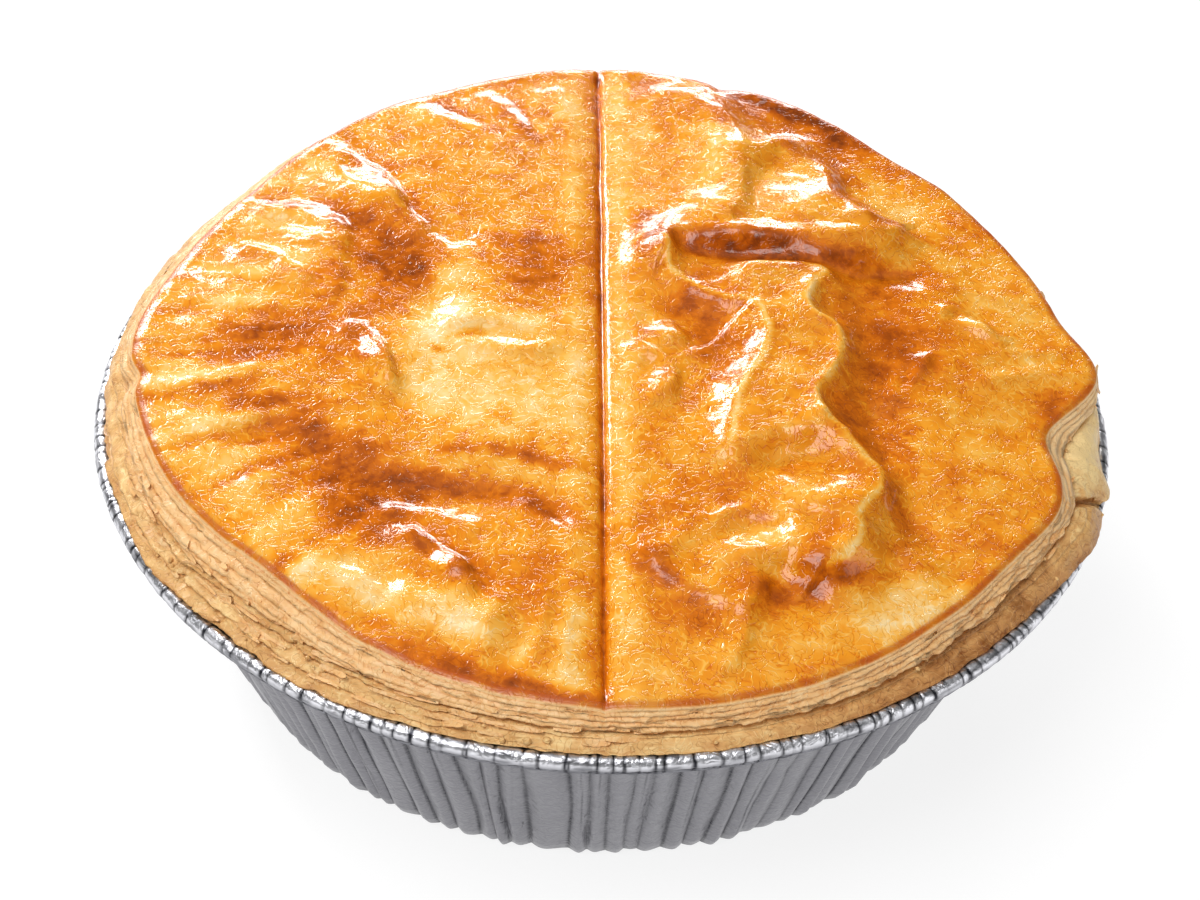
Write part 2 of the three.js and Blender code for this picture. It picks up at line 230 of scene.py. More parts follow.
# Each is a crest through a few points, its height, and how far it spreads to the left and right of
# the way it runs. A negative height is a valley.
FOLDS = [
    # right half, back
    ([(14, 54), (17, 43), (17.5, 33), (17, 24)], 1.7, 2.8, 6.0),
    ([(24.5, 39.5), (27.5, 33), (30, 28), (33.5, 23.5)], 2.2, 2.8, 7.0),
    ([(24, 38), (20.5, 31), (18.5, 24)], -0.4, 1.4, 1.2),
    ([(7.5, 15), (9, 18.5), (16, 20.5), (22, 18.5), (28, 16.5), (34, 17.5), (38.5, 22.5)],
     1.7, 6.0, 1.8),
    ([(25, 19.5), (29, 21), (35, 21.5)], 0.5, 2.2, 1.2),
    ([(10, 16.5), (18, 15.5), (28, 14), (38, 14.5)], -1.0, 2.5, 2.0),
    ([(30, 47), (36, 38), (42, 30)], -0.7, 5.0, 5.0),
    ([(33, 30), (44, 22), (53, 18)], -0.6, 3.5, 4.0),
    # right half, middle
    (LEFT_CREST, 1.35, 11.0, 3.0), (LEFT_CREST[:-1], 0.42, 0.9, 0.7),
    ([(7, 7), (12, 2), (12.5, -5), (9, -13)], -0.25, 4.5, 3.5), (RIGHT_CREST, 1.9, 2.6, 10.0),
    (RIGHT_CREST[4:12], 0.7, 0.6, 1.0), (RIGHT_CREST[11:], 1.0, 2.0, 5.0),
    ([(32, 10), (33, 0), (32, -12)], -0.4, 5.0, 3.0),
    ([(40, 10), (42, 0), (40, -10)], 0.5, 4.0, 4.0),
    ([(38.5, -3), (37, -6), (35.5, -9)], 0.45, 1.0, 1.2),
    ([(43, 6.5), (46, 3.5), (49, 1.5)], 0.8, 1.6, 1.2),
    ([(44, 12), (50, 11), (57, 11)], 0.35, 1.2, 1.2),
    ([(46, -1), (52, 0), (59, 2)], 0.35, 1.2, 1.4),
    ([(46, -6), (52, -4), (59, -3)], 0.4, 1.4, 1.2),
    ([(31, -14), (34, -23), (36, -32), (41, -40)], -0.8, 3.0, 2.5),
    # beside the pressed line, on its right
    ([(1.5, 5.5), (5, 2), (8, -1), (10.5, -3.5)], 0.7, 1.4, 2.6),
    ([(3.5, -2), (6.5, -4), (8, -7.5), (6.5, -11)], 0.8, 1.1, 2.4),
    # right half, front
    ([(14, -31), (19.5, -31.5), (21, -35), (18.5, -38), (18, -41)], 0.9, 1.2, 5.0),
    ([(21.5, -33), (25, -38), (27.5, -36.5), (29, -31)], 0.35, 1.2, 1.2),
    ([(19, -40), (25, -40.5), (33, -37)], -0.8, 1.8, 2.2),
    ([(4, -36.5), (8, -41), (12.5, -43), (15, -45.2), (16.5, -42)], 0.75, 2.8, 1.3),
    ([(15.5, -45), (15.3, -49), (13.5, -53)], 0.7, 1.0, 2.2),
    ([(7, -29), (9, -33), (6, -37)], 0.6, 2.5, 2.0),
    ([(38, -36), (39, -41), (36, -46)], 0.8, 2.0, 6.0),
    ([(24, -43), (27, -47), (28, -52)], -0.4, 2.5, 2.5),
    # left half, back
    ([(-28, 48), (-22, 46.5), (-16, 42.5), (-11, 38)], 0.35, 3.0, 1.8),
    ([(-24, 51), (-19, 46.8), (-14, 42.5), (-11, 39.5)], -0.38, 1.4, 1.6),
    ([(-16, 51), (-12.5, 46), (-10.5, 41)], 0.28, 1.4, 2.4),
    ([(-11.5, 51), (-9.5, 45), (-7.5, 39)], -0.28, 1.3, 1.2),
    ([(-7, 52), (-5, 48), (-4, 43)], 0.24, 1.4, 2.2),
    ([(-36, 40), (-31.5, 34), (-30, 29.5), (-26.5, 24.5), (-24, 22)], 1.0, 1.6, 5.0),
    ([(-35, 42), (-30, 34.5), (-28, 29.5), (-24, 24.5), (-19, 19)], -0.7, 2.6, 1.4),
    ([(-48, 28), (-41, 25), (-36.5, 21), (-35, 17)], 0.8, 2.0, 3.0),
    ([(-34.5, 22.5), (-33.3, 19), (-34, 14), (-34, 9)], 0.6, 1.0, 2.4),
    ([(-42, 28), (-36, 27), (-31, 22)], -0.6, 2.0, 2.0),
    ([(-46, 17), (-42, 15), (-38, 11)], 0.7, 1.2, 1.8),
    ([(-28, 20), (-26, 13), (-22, 6)], -0.8, 5.0, 5.0),
    # left half, the wrinkles that run in from the edge
    ([(-53, 12.5), (-48, 12.5), (-41, 10.5)], 0.32, 1.6, 2.0),
    ([(-57, 7), (-50, 7.2), (-42, 5.5)], 0.45, 2.0, 1.8),
    ([(-58, 2), (-50, 2.5), (-43, 1)], 0.25, 1.4, 1.6),
    ([(-57, -7.5), (-51, -8.5), (-43, -6.5)], 0.5, 2.6, 2.2),
    ([(-55, -15), (-49, -15), (-42, -14.5), (-36, -16)], 0.42, 2.2, 2.0),
    ([(-52, -22), (-45, -20.5), (-38, -19)], 0.32, 1.9, 2.0),
    ([(-48, -29), (-42, -25.5), (-37, -22)], 0.35, 2.0, 2.0),
    ([(-42, -36), (-37, -31), (-33, -27)], 0.3, 2.0, 2.0),
    # left half, middle and front
    ([(-30.5, 1), (-29, -3), (-26.3, -7.5)], 0.8, 1.2, 2.6),
    ([(-22, 7), (-21, -3), (-25, -12)], -0.5, 4.0, 4.0),
    ([(-18, 3), (-12, 2.5), (-7, 0)], 0.6, 2.5, 4.0),
    ([(-40, -16), (-30, -24), (-20, -27), (-11, -27.5), (-4, -31)], -1.2, 5.0, 5.0),
    ([(-10, -29), (-7, -32), (-3.5, -36)], 0.6, 1.5, 2.2),
    ([(-25, -30), (-20, -31), (-16, -33)], 0.5, 1.4, 1.6),
    ([(-23, -34.5), (-19, -38), (-16, -42)], 1.0, 1.3, 2.4),
    ([(-41, -38), (-35, -38.5), (-29, -40.5)], 0.9, 2.5, 3.0),
    ([(-30, -38), (-26, -41), (-25.5, -44), (-28.5, -47.5)], -0.7, 1.3, 1.3),
    ([(-25, -43.5), (-19, -45.5), (-14, -47)], 0.9, 2.5, 3.0),
    ([(-12, -44), (-14, -50), (-15, -55)], 0.5, 1.5, 1.5),
    ([(-7.5, -43), (-8, -50), (-9.5, -56)], 0.5, 1.3, 1.5),
    ([(-4.5, -45), (-5, -51), (-5.5, -57)], 0.4, 1.0, 1.2),
]
# Flat facets between the folds: middle, half length, half width, turn in degrees, and how steeply
# each rises towards the right and towards the back.
FACETS = [
    (25, 29.5, 8.5, 5.2, 84, 0.12, -0.17), (25, 19.8, 13, 2.0, 5, 0.02, -0.22),
    (24, -25.5, 7.5, 5, -28, 0.12, -0.32), (16.5, -35, 4.8, 3.8, 12, 0.12, -0.35),
    (6.3, 1.2, 3.8, 2.0, -48, 0.14, -0.27), (6.2, -7.4, 3.2, 1.9, -62, 0.14, -0.27),
    (45.5, 4, 3, 1.4, -36, 0.18, -0.24), (38, -5, 3.8, 1.4, 62, 0.4, -0.05),
    (-30.5, 31, 6.5, 2.4, -58, 0.12, -0.18), (-39, 20, 5, 2.0, -34, 0.1, -0.2),
    (-29, -3.5, 4.5, 1.6, -62, 0.3, -0.07), (-18.8, -38.5, 3.2, 1.6, -40, 0.3, -0.12),
    (-12.5, -1, 6, 2.4, -8, 0.08, -0.24),
]
CREST_STEPS = 6
FOLD_ENDS = 3.5
FOLD_ROUNDING = 0.03
PRESSED_FLAT = 6.0
# How far the folds and the browning wander, and over what distance.
FOLD_WANDER = ((0.8, 7), (0.25, 2.2))
BROWN_WANDER = ((1.1, 5.5), (0.5, 1.9))


def crest_line(points):
    """The crest's points with a smooth curve between them."""
    p = np.array([points[0]] + list(points) + [points[-1]], float)
    steps = np.linspace(0, 1, CREST_STEPS, endpoint=False)[:, None]
    runs = []
    for a, b, c, d in zip(p, p[1:], p[2:], p[3:]):
        runs.append(0.5 * (2 * b + (c - a) * steps + (2 * a - 5 * b + 4 * c - d) * steps**2
                           + (3 * b - a - 3 * c + d) * steps**3))
    return np.vstack(runs + [p[-1:]])


def from_crest(x, y, crest):
    """Distance from a crest, positive on its left, and how far past the crest's ends."""
    line = crest_line(crest)
    nearest, side, past = np.full(x.shape, np.inf), np.ones(x.shape), np.zeros(x.shape)
    for k, (start, end) in enumerate(zip(line[:-1], line[1:])):
        run = end - start
        length = max(np.hypot(*run), 1e-9)
        dx, dy = x - start[0], y - start[1]
        share = (dx * run[0] + dy * run[1]) / length**2
        kept = np.clip(share, 0, 1)
        distance = np.hypot(dx - kept * run[0], dy - kept * run[1])
        closer = distance < nearest
        nearest = np.where(closer, distance, nearest)
        side = np.where(closer, np.sign(run[0] * dy - run[1] * dx), side)
        beyond = np.zeros(x.shape)
        if k == 0:
            beyond = np.maximum(beyond, -share * length)
        if k == len(line) - 2:
            beyond = np.maximum(beyond, (share - 1) * length)
        past = np.where(closer, beyond, past)
    return nearest * side, past


def wavy_place(x, y, wander, seed):
    """The place shifted about by lumps."""
    moved = []
    for value in (x, y):
        for far, size in wander:
            value = value + far * lumps((x, y), size, seed)
            seed += 1
        moved.append(value)
    return moved


def patch_place(x, y, middle_x, middle_y, half_length, half_width, turn):
    """How far along and across a turned patch each place lies, 1 being its edge."""
    c, s = math.cos(math.radians(turn)), math.sin(math.radians(turn))
    dx, dy = x - middle_x, y - middle_y
    return (dx * c + dy * s) / half_length, (dy * c - dx * s) / half_width


def crest_lift(wavy_x, wavy_y):
    """The sum of all the folds at each place."""
    total = np.zeros(wavy_x.shape)
    for crest, height, left, right in FOLDS:
        distance, past = from_crest(wavy_x, wavy_y, crest)
        width = np.where(distance > 0, left, right)
        rounded = np.sqrt((distance / width) ** 2 + FOLD_ROUNDING) - math.sqrt(FOLD_ROUNDING)
        total += height * np.exp(-1.1 * rounded**1.35) * bump(past, FOLD_ENDS)
    return total


def fold_height(x, y):
    """How far the folds and facets lift the lid, and how far its valleys lie below."""
    wavy_x, wavy_y = wavy_place(x, y, FOLD_WANDER, 11)
    middles = np.array([facet[:2] for facet in FACETS], float)
    middle_lift = crest_lift(middles[:, 0], middles[:, 1])
    total = crest_lift(wavy_x, wavy_y)
    for (*place, rise_x, rise_y), lift in zip(FACETS, middle_lift):
        inside = 1 - smooth(0.5, 1.4, np.hypot(*patch_place(wavy_x, wavy_y, *place)))
        flat = lift + rise_x * (wavy_x - place[0]) + rise_y * (wavy_y - place[1])
        total = total * (1 - inside) + flat * inside
    return total * smooth(0.3, 1.0, np.abs(x - LINE_X) / PRESSED_FLAT)


def painted_crest_highlight(x, y):
    """1 along the tops of the two long folds, where a pale line is painted on as a highlight."""
    wavy_x, wavy_y = wavy_place(x, y, FOLD_WANDER, 11)
    total = np.zeros(x.shape)
    for crest in (LEFT_CREST, RIGHT_CREST):
        distance, past = from_crest(wavy_x, wavy_y, crest)
        total = np.maximum(total, bump(distance - 0.15, 0.42) * bump(past, 1.0))
    return total


def pressed_line(x, y):
    """The line pressed across the lid: a narrow crease between two round shoulders."""
    along = (x * 0, y)
    across = x - LINE_X + 0.12 * lumps(along, 9, 21)
    ribs = 0.05 * np.sin(y * 2 * math.pi / 0.9 + 2 * lumps(along, 5, 22))
    shoulders = bump(np.abs(across) - 0.95, 0.5) * ribs
    return (-0.8 * bump(across, 0.42, 1.6) - 0.36 * bump(across, 1.7)
            + 0.16 * bump(np.abs(across) - 3.6, 1.5) + shoulders)


def crust_relief(x, y, share, angle):
    """Lumps and fine wrinkles of baked puff pastry."""
    p = (x, y)
    around = (angle * EDGE_RADIUS, share * 14)
    flat = 0.3 + 0.7 * smooth(0.25, 1.0, np.abs(x - LINE_X) / PRESSED_FLAT)
    near_edge = smooth(0.72, 0.97, share)
    broad = 0.3 * lumps(p, 17, 1) + 0.12 * lumps(p, 7.5, 2)
    fine = 0.035 * lumps(p, 3.1, 3) + 0.04 * creases(p, 4.2, 4)
    edge_wrinkles = near_edge * (0.07 * lumps(around, 5.5, 6) + 0.03 * lumps(around, 2.4, 7))
    return flat * (broad + fine) + edge_wrinkles


# ---- Browning of the lid, with painted shade and highlight at the pressed line ----

# Each patch is its middle, half its length, half its width, its turn in degrees, and how much
# darker (or, below zero, how much paler) it is baked.
PATCHES = [
    # back left
    (-11, 57, 10, 2.8, 8, 0.3), (-19.5, 47, 8, 1.1, -41, 0.75),
    (-12.8, 46.5, 5.5, 0.9, -58, 0.35), (-10.8, 46, 5, 1.0, -66, 0.65),
    (-6.5, 45, 5, 0.9, -76, 0.3), (-31.5, 35.5, 6.5, 1.4, -62, 0.6),
    (-26, 27.5, 6.5, 1.8, -50, 0.45), (-38, 26.2, 6, 1.8, -6, 0.65),
    (-32.5, 23.5, 2.8, 2.6, 0, 0.6), (-40, 33, 5.5, 2.6, 15, -0.4),
    (-31.5, 30, 3.5, 1.8, -55, -0.4), (-42, 22.5, 6.5, 2.4, -30, -0.55),
    (-37.5, 19, 4, 1.6, -45, -0.4), (-40, 14.5, 4, 1.6, -35, -0.5),
    (-48, 12.6, 4.5, 1.8, -12, -0.6), (-47, 6.4, 4.5, 1.9, 0, -0.65), (-51, 2, 5, 1.2, 0, -0.25),
    (-17, 44, 6, 1.5, -35, -0.35), (-26, 48, 5, 2, -10, -0.25), (-5, 47.5, 1.8, 3.5, 12, -0.35),
    (-9, 53, 2.5, 3, 0, -0.15), (-26.5, 15, 5, 5.5, 0, 0.9), (-24.8, 12.8, 2.4, 3.8, -25, 0.4),
    (-29.5, 20.5, 5.5, 3, 20, 0.3), (-28.5, 5.5, 3.2, 2.4, 15, 0.55), (-35, 11, 2.6, 5, 0, 0.45),
    (-39, 0.5, 8, 4.5, 0, 0.7), (-19, 8, 3.6, 7, -20, -0.6), (-20, 1, 4.5, 4.5, 0, -0.5),
    (-8, 15, 6.5, 5, 0, 0.7), (-13, 19.3, 5, 1.3, -8, 0.35), (-11, 10.5, 4.5, 1.1, 8, 0.4),
    (-5.5, 7, 5, 2.5, 0, 0.25), (-12, 1.8, 5, 2.2, 0, -0.6),
    # front left
    (-14, -5, 8.5, 5.5, -10, -0.45), (-8, -12, 7, 6, 0, -0.5), (-16, -13, 7, 3.5, -35, -0.5),
    (-21, -8, 3.5, 8, 15, -0.5), (-20.6, -2.4, 1.7, 0.6, -30, 1.0), (-17, 0.2, 2.0, 0.5, 8, 0.8),
    (-12.5, -14.5, 2.6, 1.2, -55, 0.75), (-8.5, -21.6, 5, 0.8, -18, 0.9),
    (-16, -20.2, 3.5, 0.7, -12, 0.7), (-12, -23.5, 6, 1.3, -12, -0.35), (-31, -3, 5, 4, 0, 0.2),
    (-53, -7.2, 4.5, 2.3, -6, -0.8), (-50, -15, 6.5, 1.7, 0, -0.7),
    (-46, -20.5, 6, 2.2, 12, -0.5), (-43, -26, 4.5, 2.6, 42, -0.55),
    (-38.5, -32.5, 4.5, 2.8, 52, -0.55), (-46, -3.6, 6, 0.9, -4, 0.4),
    (-43, -11, 8, 1.2, -6, 0.6), (-45, -17.7, 5, 0.7, -2, 0.35), (-41, -23, 4.5, 0.9, 24, 0.35),
    (-37, -17, 6, 3.2, -20, 0.7), (-32, -23, 6, 5.5, -30, 0.65), (-25, -26.5, 6, 4, -10, 0.85),
    (-15, -26.2, 7, 1.7, -16, 0.8), (-6, -30, 5, 1.5, -40, 0.8), (-29.5, -31.5, 4, 3.2, 0, 0.65),
    (-21, -33.5, 6, 2.4, -8, 0.45), (-37.5, -38.2, 2.2, 0.8, 62, 0.7),
    (-18.5, -37.6, 5, 1.6, -38, 0.6), (-11, -42, 6.5, 3.2, -8, 0.5), (-5.5, -38, 2.6, 4, 0, 0.4),
    (-33, -39.6, 5.5, 2.4, 12, -0.8), (-27, -42.6, 3.4, 2.6, 0, -0.7),
    (-27.6, -47, 1.4, 2.4, -30, 0.35), (-20, -45.8, 6, 2.8, -12, -0.75),
    (-16, -49, 4.5, 1.8, -22, -0.4), (-21, -51.2, 5.5, 1.6, -34, 0.6),
    (-12.5, -55.2, 6.5, 1.6, -20, 1.0), (-4, -57.5, 4, 0.9, -5, 0.6),
    (-9.5, -51.5, 0.9, 3.4, -22, -0.5), (-5, -52.5, 0.9, 4.5, -14, -0.5),
    # back right
    (4.5, 57, 6, 2.6, 0, 0.3), (7, 52, 3, 3, 0, 0.2), (16, 47.5, 4, 3.6, 0, 0.7),
    (22, 52.5, 7, 3.2, -22, 0.95), (28.5, 49, 6, 2.6, -42, 0.8), (34, 43.5, 6, 1.8, -44, 0.6),
    (26, 43, 6.5, 4.5, -30, 0.5), (31, 37, 1.8, 7, 0, 0.55), (33, 28, 2.4, 6, 18, 0.4),
    (14, 39, 2.8, 8, 0, -0.45), (13.5, 28, 3.4, 5, 0, -0.25), (25, 30, 4.5, 6, 0, -0.25),
    (5.5, 43, 2.2, 6, 6, -0.3), (4, 32, 2, 8, 0, -0.2), (39.5, 29, 5, 3.2, -30, -0.6),
    (38, 36.5, 4, 2.6, -40, 0.2), (46, 25, 3.5, 5, 10, 0.2), (42, 22, 5.5, 1.1, -22, 0.55),
    (5, 21.8, 2.8, 2.2, 0, 0.8), (6, 17, 2.6, 2.0, 0, 0.45), (19, 16.2, 9.5, 2.4, -4, 1.3),
    (33, 15, 6, 1.5, 2, 0.75), (38, 11.5, 8, 3.2, 4, 0.45), (34, 5, 7, 5, -20, 0.4),
    (10.5, 7, 4, 3.5, -32, 0.55), (13.5, 0, 3.8, 7.5, 8, 0.65), (47, 10, 3.2, 2.2, 0, -0.25),
    (50.5, 15, 4.5, 4.5, 0, -0.2), (53, 7, 5, 3.6, 0, -0.25), (46, 4, 2.8, 0.9, -36, -0.5),
    (50, -2, 6, 2.2, -12, -0.25),
    # front right
    (34, -5, 5.5, 9, 0, 0.65), (42, -2, 4, 5, 0, 0.35), (29.5, -15, 2.6, 5, 32, 0.55),
    (35, -20, 8, 2.6, -20, 0.35), (33.5, -27, 2.4, 7, 18, 0.45), (43, -13, 6, 4.5, 0, -0.1),
    (45, -20, 6, 4.5, 0, -0.15), (55, -8.5, 3.5, 1.4, 52, 0.7), (7, -14, 6, 4.5, 0, 0.15),
    (6, -31, 4.5, 3, 0, 0.4), (12, -27, 5, 3.5, 0, 0.35), (18, -35, 4.2, 3, 10, -0.35),
    (24, -36.5, 1.5, 4, -26, 0.6), (26.5, -39.6, 5, 1.2, 10, 0.85),
    (20.5, -42.6, 5, 1.8, 0, 0.55), (4.5, -38, 2.0, 4.5, 36, 0.7), (9, -45, 5.5, 2.4, -42, 0.4),
    (18, -44, 1.8, 2.2, 0, 0.55), (36, -43, 6, 3.6, 32, -0.8), (31, -46, 3, 3, 0, -0.3),
    (27, -46, 5, 2.6, 0, -0.15), (22, -50, 6, 2.4, 12, -0.15), (10, -51, 6, 4, 0, -0.15),
    (43, -33, 3, 5.5, -42, 0.3),
]


def edge_streaks(x, y):
    """Narrow wrinkles that run in from the lid's left edge, mostly within -1 to 1."""
    angle = np.arctan2(y, x)
    share = np.hypot(x, y) / lid_radius(angle)
    turned = np.where(angle < 0, angle + 2 * math.pi, angle) * EDGE_RADIUS
    streaks = lumps((turned, share * 6), 2.7, 35)
    return streaks * smooth(0.55, 0.8, share) * lobe(angle, 183, 48)


def browning_and_painted_light(x, y):
    """How far the lid is baked at each place: 0 golden, 1 brown, -1 pale, with painted shade and
    highlight at the pressed line.
    """
    wavy_x, wavy_y = wavy_place(x, y, BROWN_WANDER, 31)
    total = np.zeros(x.shape)
    for *place, amount in PATCHES:
        along, across = patch_place(wavy_x, wavy_y, *place)
        total += amount * np.exp(-0.75 * (along**2 + across**2) ** 1.25)
    total += 0.7 * edge_streaks(x, y)
    # Painted shade in the pressed line's crease and on its left shoulder, painted highlight on its
    # right shoulder and beyond its left one.
    from_line = x - LINE_X
    total += 0.25 * bump(from_line + 0.6, 1.2) + 0.8 * bump(from_line, 0.35)
    total -= 0.5 * bump(from_line - 2.4, 1.7) + 0.35 * bump(from_line + 3.4, 1.6)
    return total


# ---- Puff pastry lid ----

LID_COLUMNS = 280
LID_ROWS = 226
LIP = 0.7
LIP_ROWS = 4
LEAVES = 4
# The rows of each leaf, from its top: how far down the leaf, and how far it stands out.
LEAF_ROWS = ((0.05, -0.13), (0.22, 0.04), (0.5, 0.12), (0.8, 0.2), (0.94, 0.03))
# The rows that turn in under the lid: how far in, and how far up.
UNDERSIDE = ((0.8, 0.0), (7.0, 0.25))


def lid_blank():
    """A flat grid with rows drawn down from its edge, closed underneath."""
    deselect()
    bpy.ops.mesh.primitive_grid_add(x_subdivisions=LID_COLUMNS, y_subdivisions=LID_ROWS, size=2)
    piece = new_piece("pie_lid")
    edit(piece)
    bpy.ops.mesh.select_mode(type="EDGE")
    bpy.ops.mesh.select_all(action="SELECT")
    bpy.ops.mesh.region_to_loop()
    ring_rows(LIP_ROWS + LEAVES * len(LEAF_ROWS) + len(UNDERSIDE))
    bpy.ops.mesh.edge_face_add()
    leave()
    return piece


def lid_top(x, y, share, angle):
    """The height of the lid's glazed top."""
    calm_edge = 1 - 0.75 * smooth(0.86, 1.0, share)
    line = pressed_line(x, y) * (1 - 0.7 * smooth(0.93, 1, share))
    top = (dome_height(x, y) + calm_edge * fold_height(x, y) + crust_relief(x, y, share, angle)
           + line)
    bead_height = lobes(angle, ((180, 9, 0.2), (215, 22, 0.1)), 0.08)
    return top + bump((share - 0.972) / 0.012, 1.0) * bead_height - 0.16 * edge_streaks(x, y)


def torn_row(angle, leaf, depth, stick_out):
    """One row of a torn leaf: how far down the side, how far out, and its painted shade for lying
    in a gap.
    """
    at = (angle * EDGE_RADIUS, leaf * 50.0)
    wander = 0.36 * lumps(at, 9, 43) + 0.13 * lumps(at, 2.5, 44)
    level = np.clip((leaf + depth + (wander if leaf else 0.3 * wander)) / LEAVES, 0.01, 1.0)
    torn = 0.22 * lumps(at, 3.2, 45) + 0.17 * lumps(at, 0.8, 46)
    torn_side = lobes(angle, ((-40, 13, 1.4), (225, 25, 0.8)), 1)
    ragged = (stick_out * (1 + 1.2 * lumps(at, 6, 47))
              + torn_side * torn * (0.7 if stick_out > 0 else 0.2))
    missing = smooth(0.12, 0.3, lumps(at, 4.2, 49)) if stick_out > 0.1 else 0
    ragged = ragged - 0.32 * missing
    if leaf == LEAVES - 1 and stick_out > 0:
        ragged = ragged + lobe(angle, -55, 28) * (0.4 + 0.35 * lumps(at, 0.9, 48))
    # The last number is painted shade: full in the gaps, less on the leaves, more where a leaf is
    # torn away.
    return level, ragged, 1.0 if stick_out < 0 else 0.3 + 0.35 * missing


def make_lid():
    """A grid drawn out to a round, with side rows below its edge, then shaped."""
    piece = lid_blank()
    spots = read_points(piece)
    u, v, row = spots[:, 0], spots[:, 1], np.rint(-spots[:, 2]).astype(int)
    u = u * (0.72 + 0.28 * u * u)
    round_x, round_y = u * np.sqrt(1 - v * v / 2), v * np.sqrt(1 - u * u / 2)
    angle = np.arctan2(round_y, round_x)
    edge = lid_radius(angle) + 0.45 * lobe(angle, 0, 5)
    radius = np.minimum(1, np.hypot(round_x, round_y)) * (edge - LIP)
    x, y, share = radius * np.cos(angle), radius * np.sin(angle), radius / edge
    z = lid_top(x, y, share, angle)

    lip_turn = np.clip(row, 0, LIP_ROWS) / LIP_ROWS * math.pi / 2
    out = edge - LIP + LIP * np.sin(lip_turn)
    down = LIP * (1 - np.cos(lip_turn))
    ring = (angle * EDGE_RADIUS, 0)
    floor_z = lid_bottom(angle) + 0.14 * lumps(ring, 1.1, 41) + 0.1 * lumps(ring, 5, 42)
    drop = z - LIP - floor_z
    flare = lobes(angle, ((-15, 8, 1.4), (290, 35, 0.35), (3, 8, -1.2), (25, 18, -0.6)),
                  side_flare(angle))
    painted_gap_shade = np.zeros(angle.shape)
    next_row = LIP_ROWS + 1
    for leaf, (depth, stick_out) in itertools.product(range(LEAVES), LEAF_ROWS):
        here = row == next_row
        level, ragged, painted_gap_shade[here] = torn_row(angle[here], leaf, depth, stick_out)
        slope = 0.1 + 0.9 * smooth(0.05, 0.85, level)
        out[here] = edge[here] + flare[here] * slope + ragged
        down[here] = LIP + level * drop[here]
        next_row += 1
    for inwards, up in UNDERSIDE:
        here = row == next_row
        out[here] = edge[here] + flare[here] - inwards
        down[here] = (z - floor_z)[here] - up
        next_row += 1

    side = row > 0
    x = np.where(side, out * np.cos(angle), x)
    y = np.where(side, out * np.sin(angle), y)
    write_points(piece, np.stack([x, y, z - down * side], axis=1))
    write_shades(piece, {
        # The browning also carries the painted highlight along the two long crests, and the pressed
        # line's painted shade and highlight.
        "browning_and_painted_light": np.where(side, 0, browning_and_painted_light(x, y) - 0.9 * painted_crest_highlight(x, y)),
        "edge_line": np.where(side, np.clip(1.1 - np.maximum(0, down - 0.15) / 0.25, 0, 1),
                              bump((1 - share) * edge - LIP, 0.2, 1.5)),
        "leaves": smooth(0.2, 0.5, down) * side,
        "depth": down,
        # Painted shade between the leaves, taken down at the notch on the right, where it turns to
        # painted light.
        "painted_gap_shade": painted_gap_shade - 0.5 * lobe(angle, -8, 16) * side,
    })
    return finish_piece(piece)


# ---- Shortcrust case ----

CASE_SIDES = 1200
CASE_ROWS = 52
COLLAR_FIRST = 2
COLLAR_LAST = 44
LEVEL_HEIGHT = 4.5
# The inside wall: its highest and lowest level, and how far in from the tray's wall it stands.
WALL_LEVELS = (29.7, 1.0)
WALL_GAP = 1.65
# The split below the block, in degrees at its top and foot.
CRACK_TOP = -22.5
CRACK_FOOT = -17.5
# Small cracks: where, in degrees, half the width, the depth, and where down the collar each runs.
COLLAR_CRACKS = ((-31.5, 0.3, 0.8, 0.15, 0.5), (-37, 0.25, 0.6, 0.5, 0.9),
                 (-14, 0.3, 0.5, 0.1, 0.4), (205, 0.25, 0.6, 0.5, 0.95),
                 (216, 0.35, 0.9, 0.35, 0.8), (224, 0.3, 0.7, 0.6, 1.0),
                 (233, 0.35, 0.9, 0.2, 0.6), (238, 0.3, 0.8, 0.55, 1.0),
                 (247, 0.3, 0.6, 0.6, 1.0), (171, 0.25, 0.5, 0.3, 0.9),
                 (140, 0.3, 0.5, 0.3, 0.8), (118, 0.3, 0.5, 0.4, 0.9),
                 (64, 0.3, 0.5, 0.4, 0.9), (22, 0.3, 0.5, 0.4, 0.9))


def ring_blank(name, sides, rows):
    """A closed drum of rows one apart, ready to be shaped, with each point's angle and row."""
    deselect()
    bpy.ops.mesh.primitive_circle_add(vertices=sides, radius=1, fill_type="NOTHING")
    piece = new_piece(name)
    edit(piece)
    ring_rows(rows)
    bpy.ops.mesh.select_all(action="SELECT")
    bpy.ops.mesh.fill_holes(sides=0)
    leave()
    spots = read_points(piece)
    return piece, np.arctan2(spots[:, 1], spots[:, 0]), np.rint(-spots[:, 2]).astype(int)


def collar_steps(around, t, terraces):
    """The collar's terraces: how far each place stands out, and which are treads' lower edges."""
    ring, sheet = (around, 0), (around, t * 4.0)
    phase = (t * (1.6 + 1.5 * terraces) + 0.1 * lumps(ring, 1.0, 64) + 0.35 * lumps(ring, 11, 54)
             + 0.12 * lumps(ring, 2.6, 55) + 0.06 * lumps(sheet, 0.8, 56))
    step = phase - np.floor(phase)
    tread = np.where(step < 0.86, (step / 0.86) ** 1.2, (1 - step) / 0.14)
    uneven = lumps((around, np.floor(phase) * 30), 8, 57)
    return (0.1 + 1.2 * terraces * (0.7 + 0.6 * uneven)) * (tread - 0.4), tread > 0.85


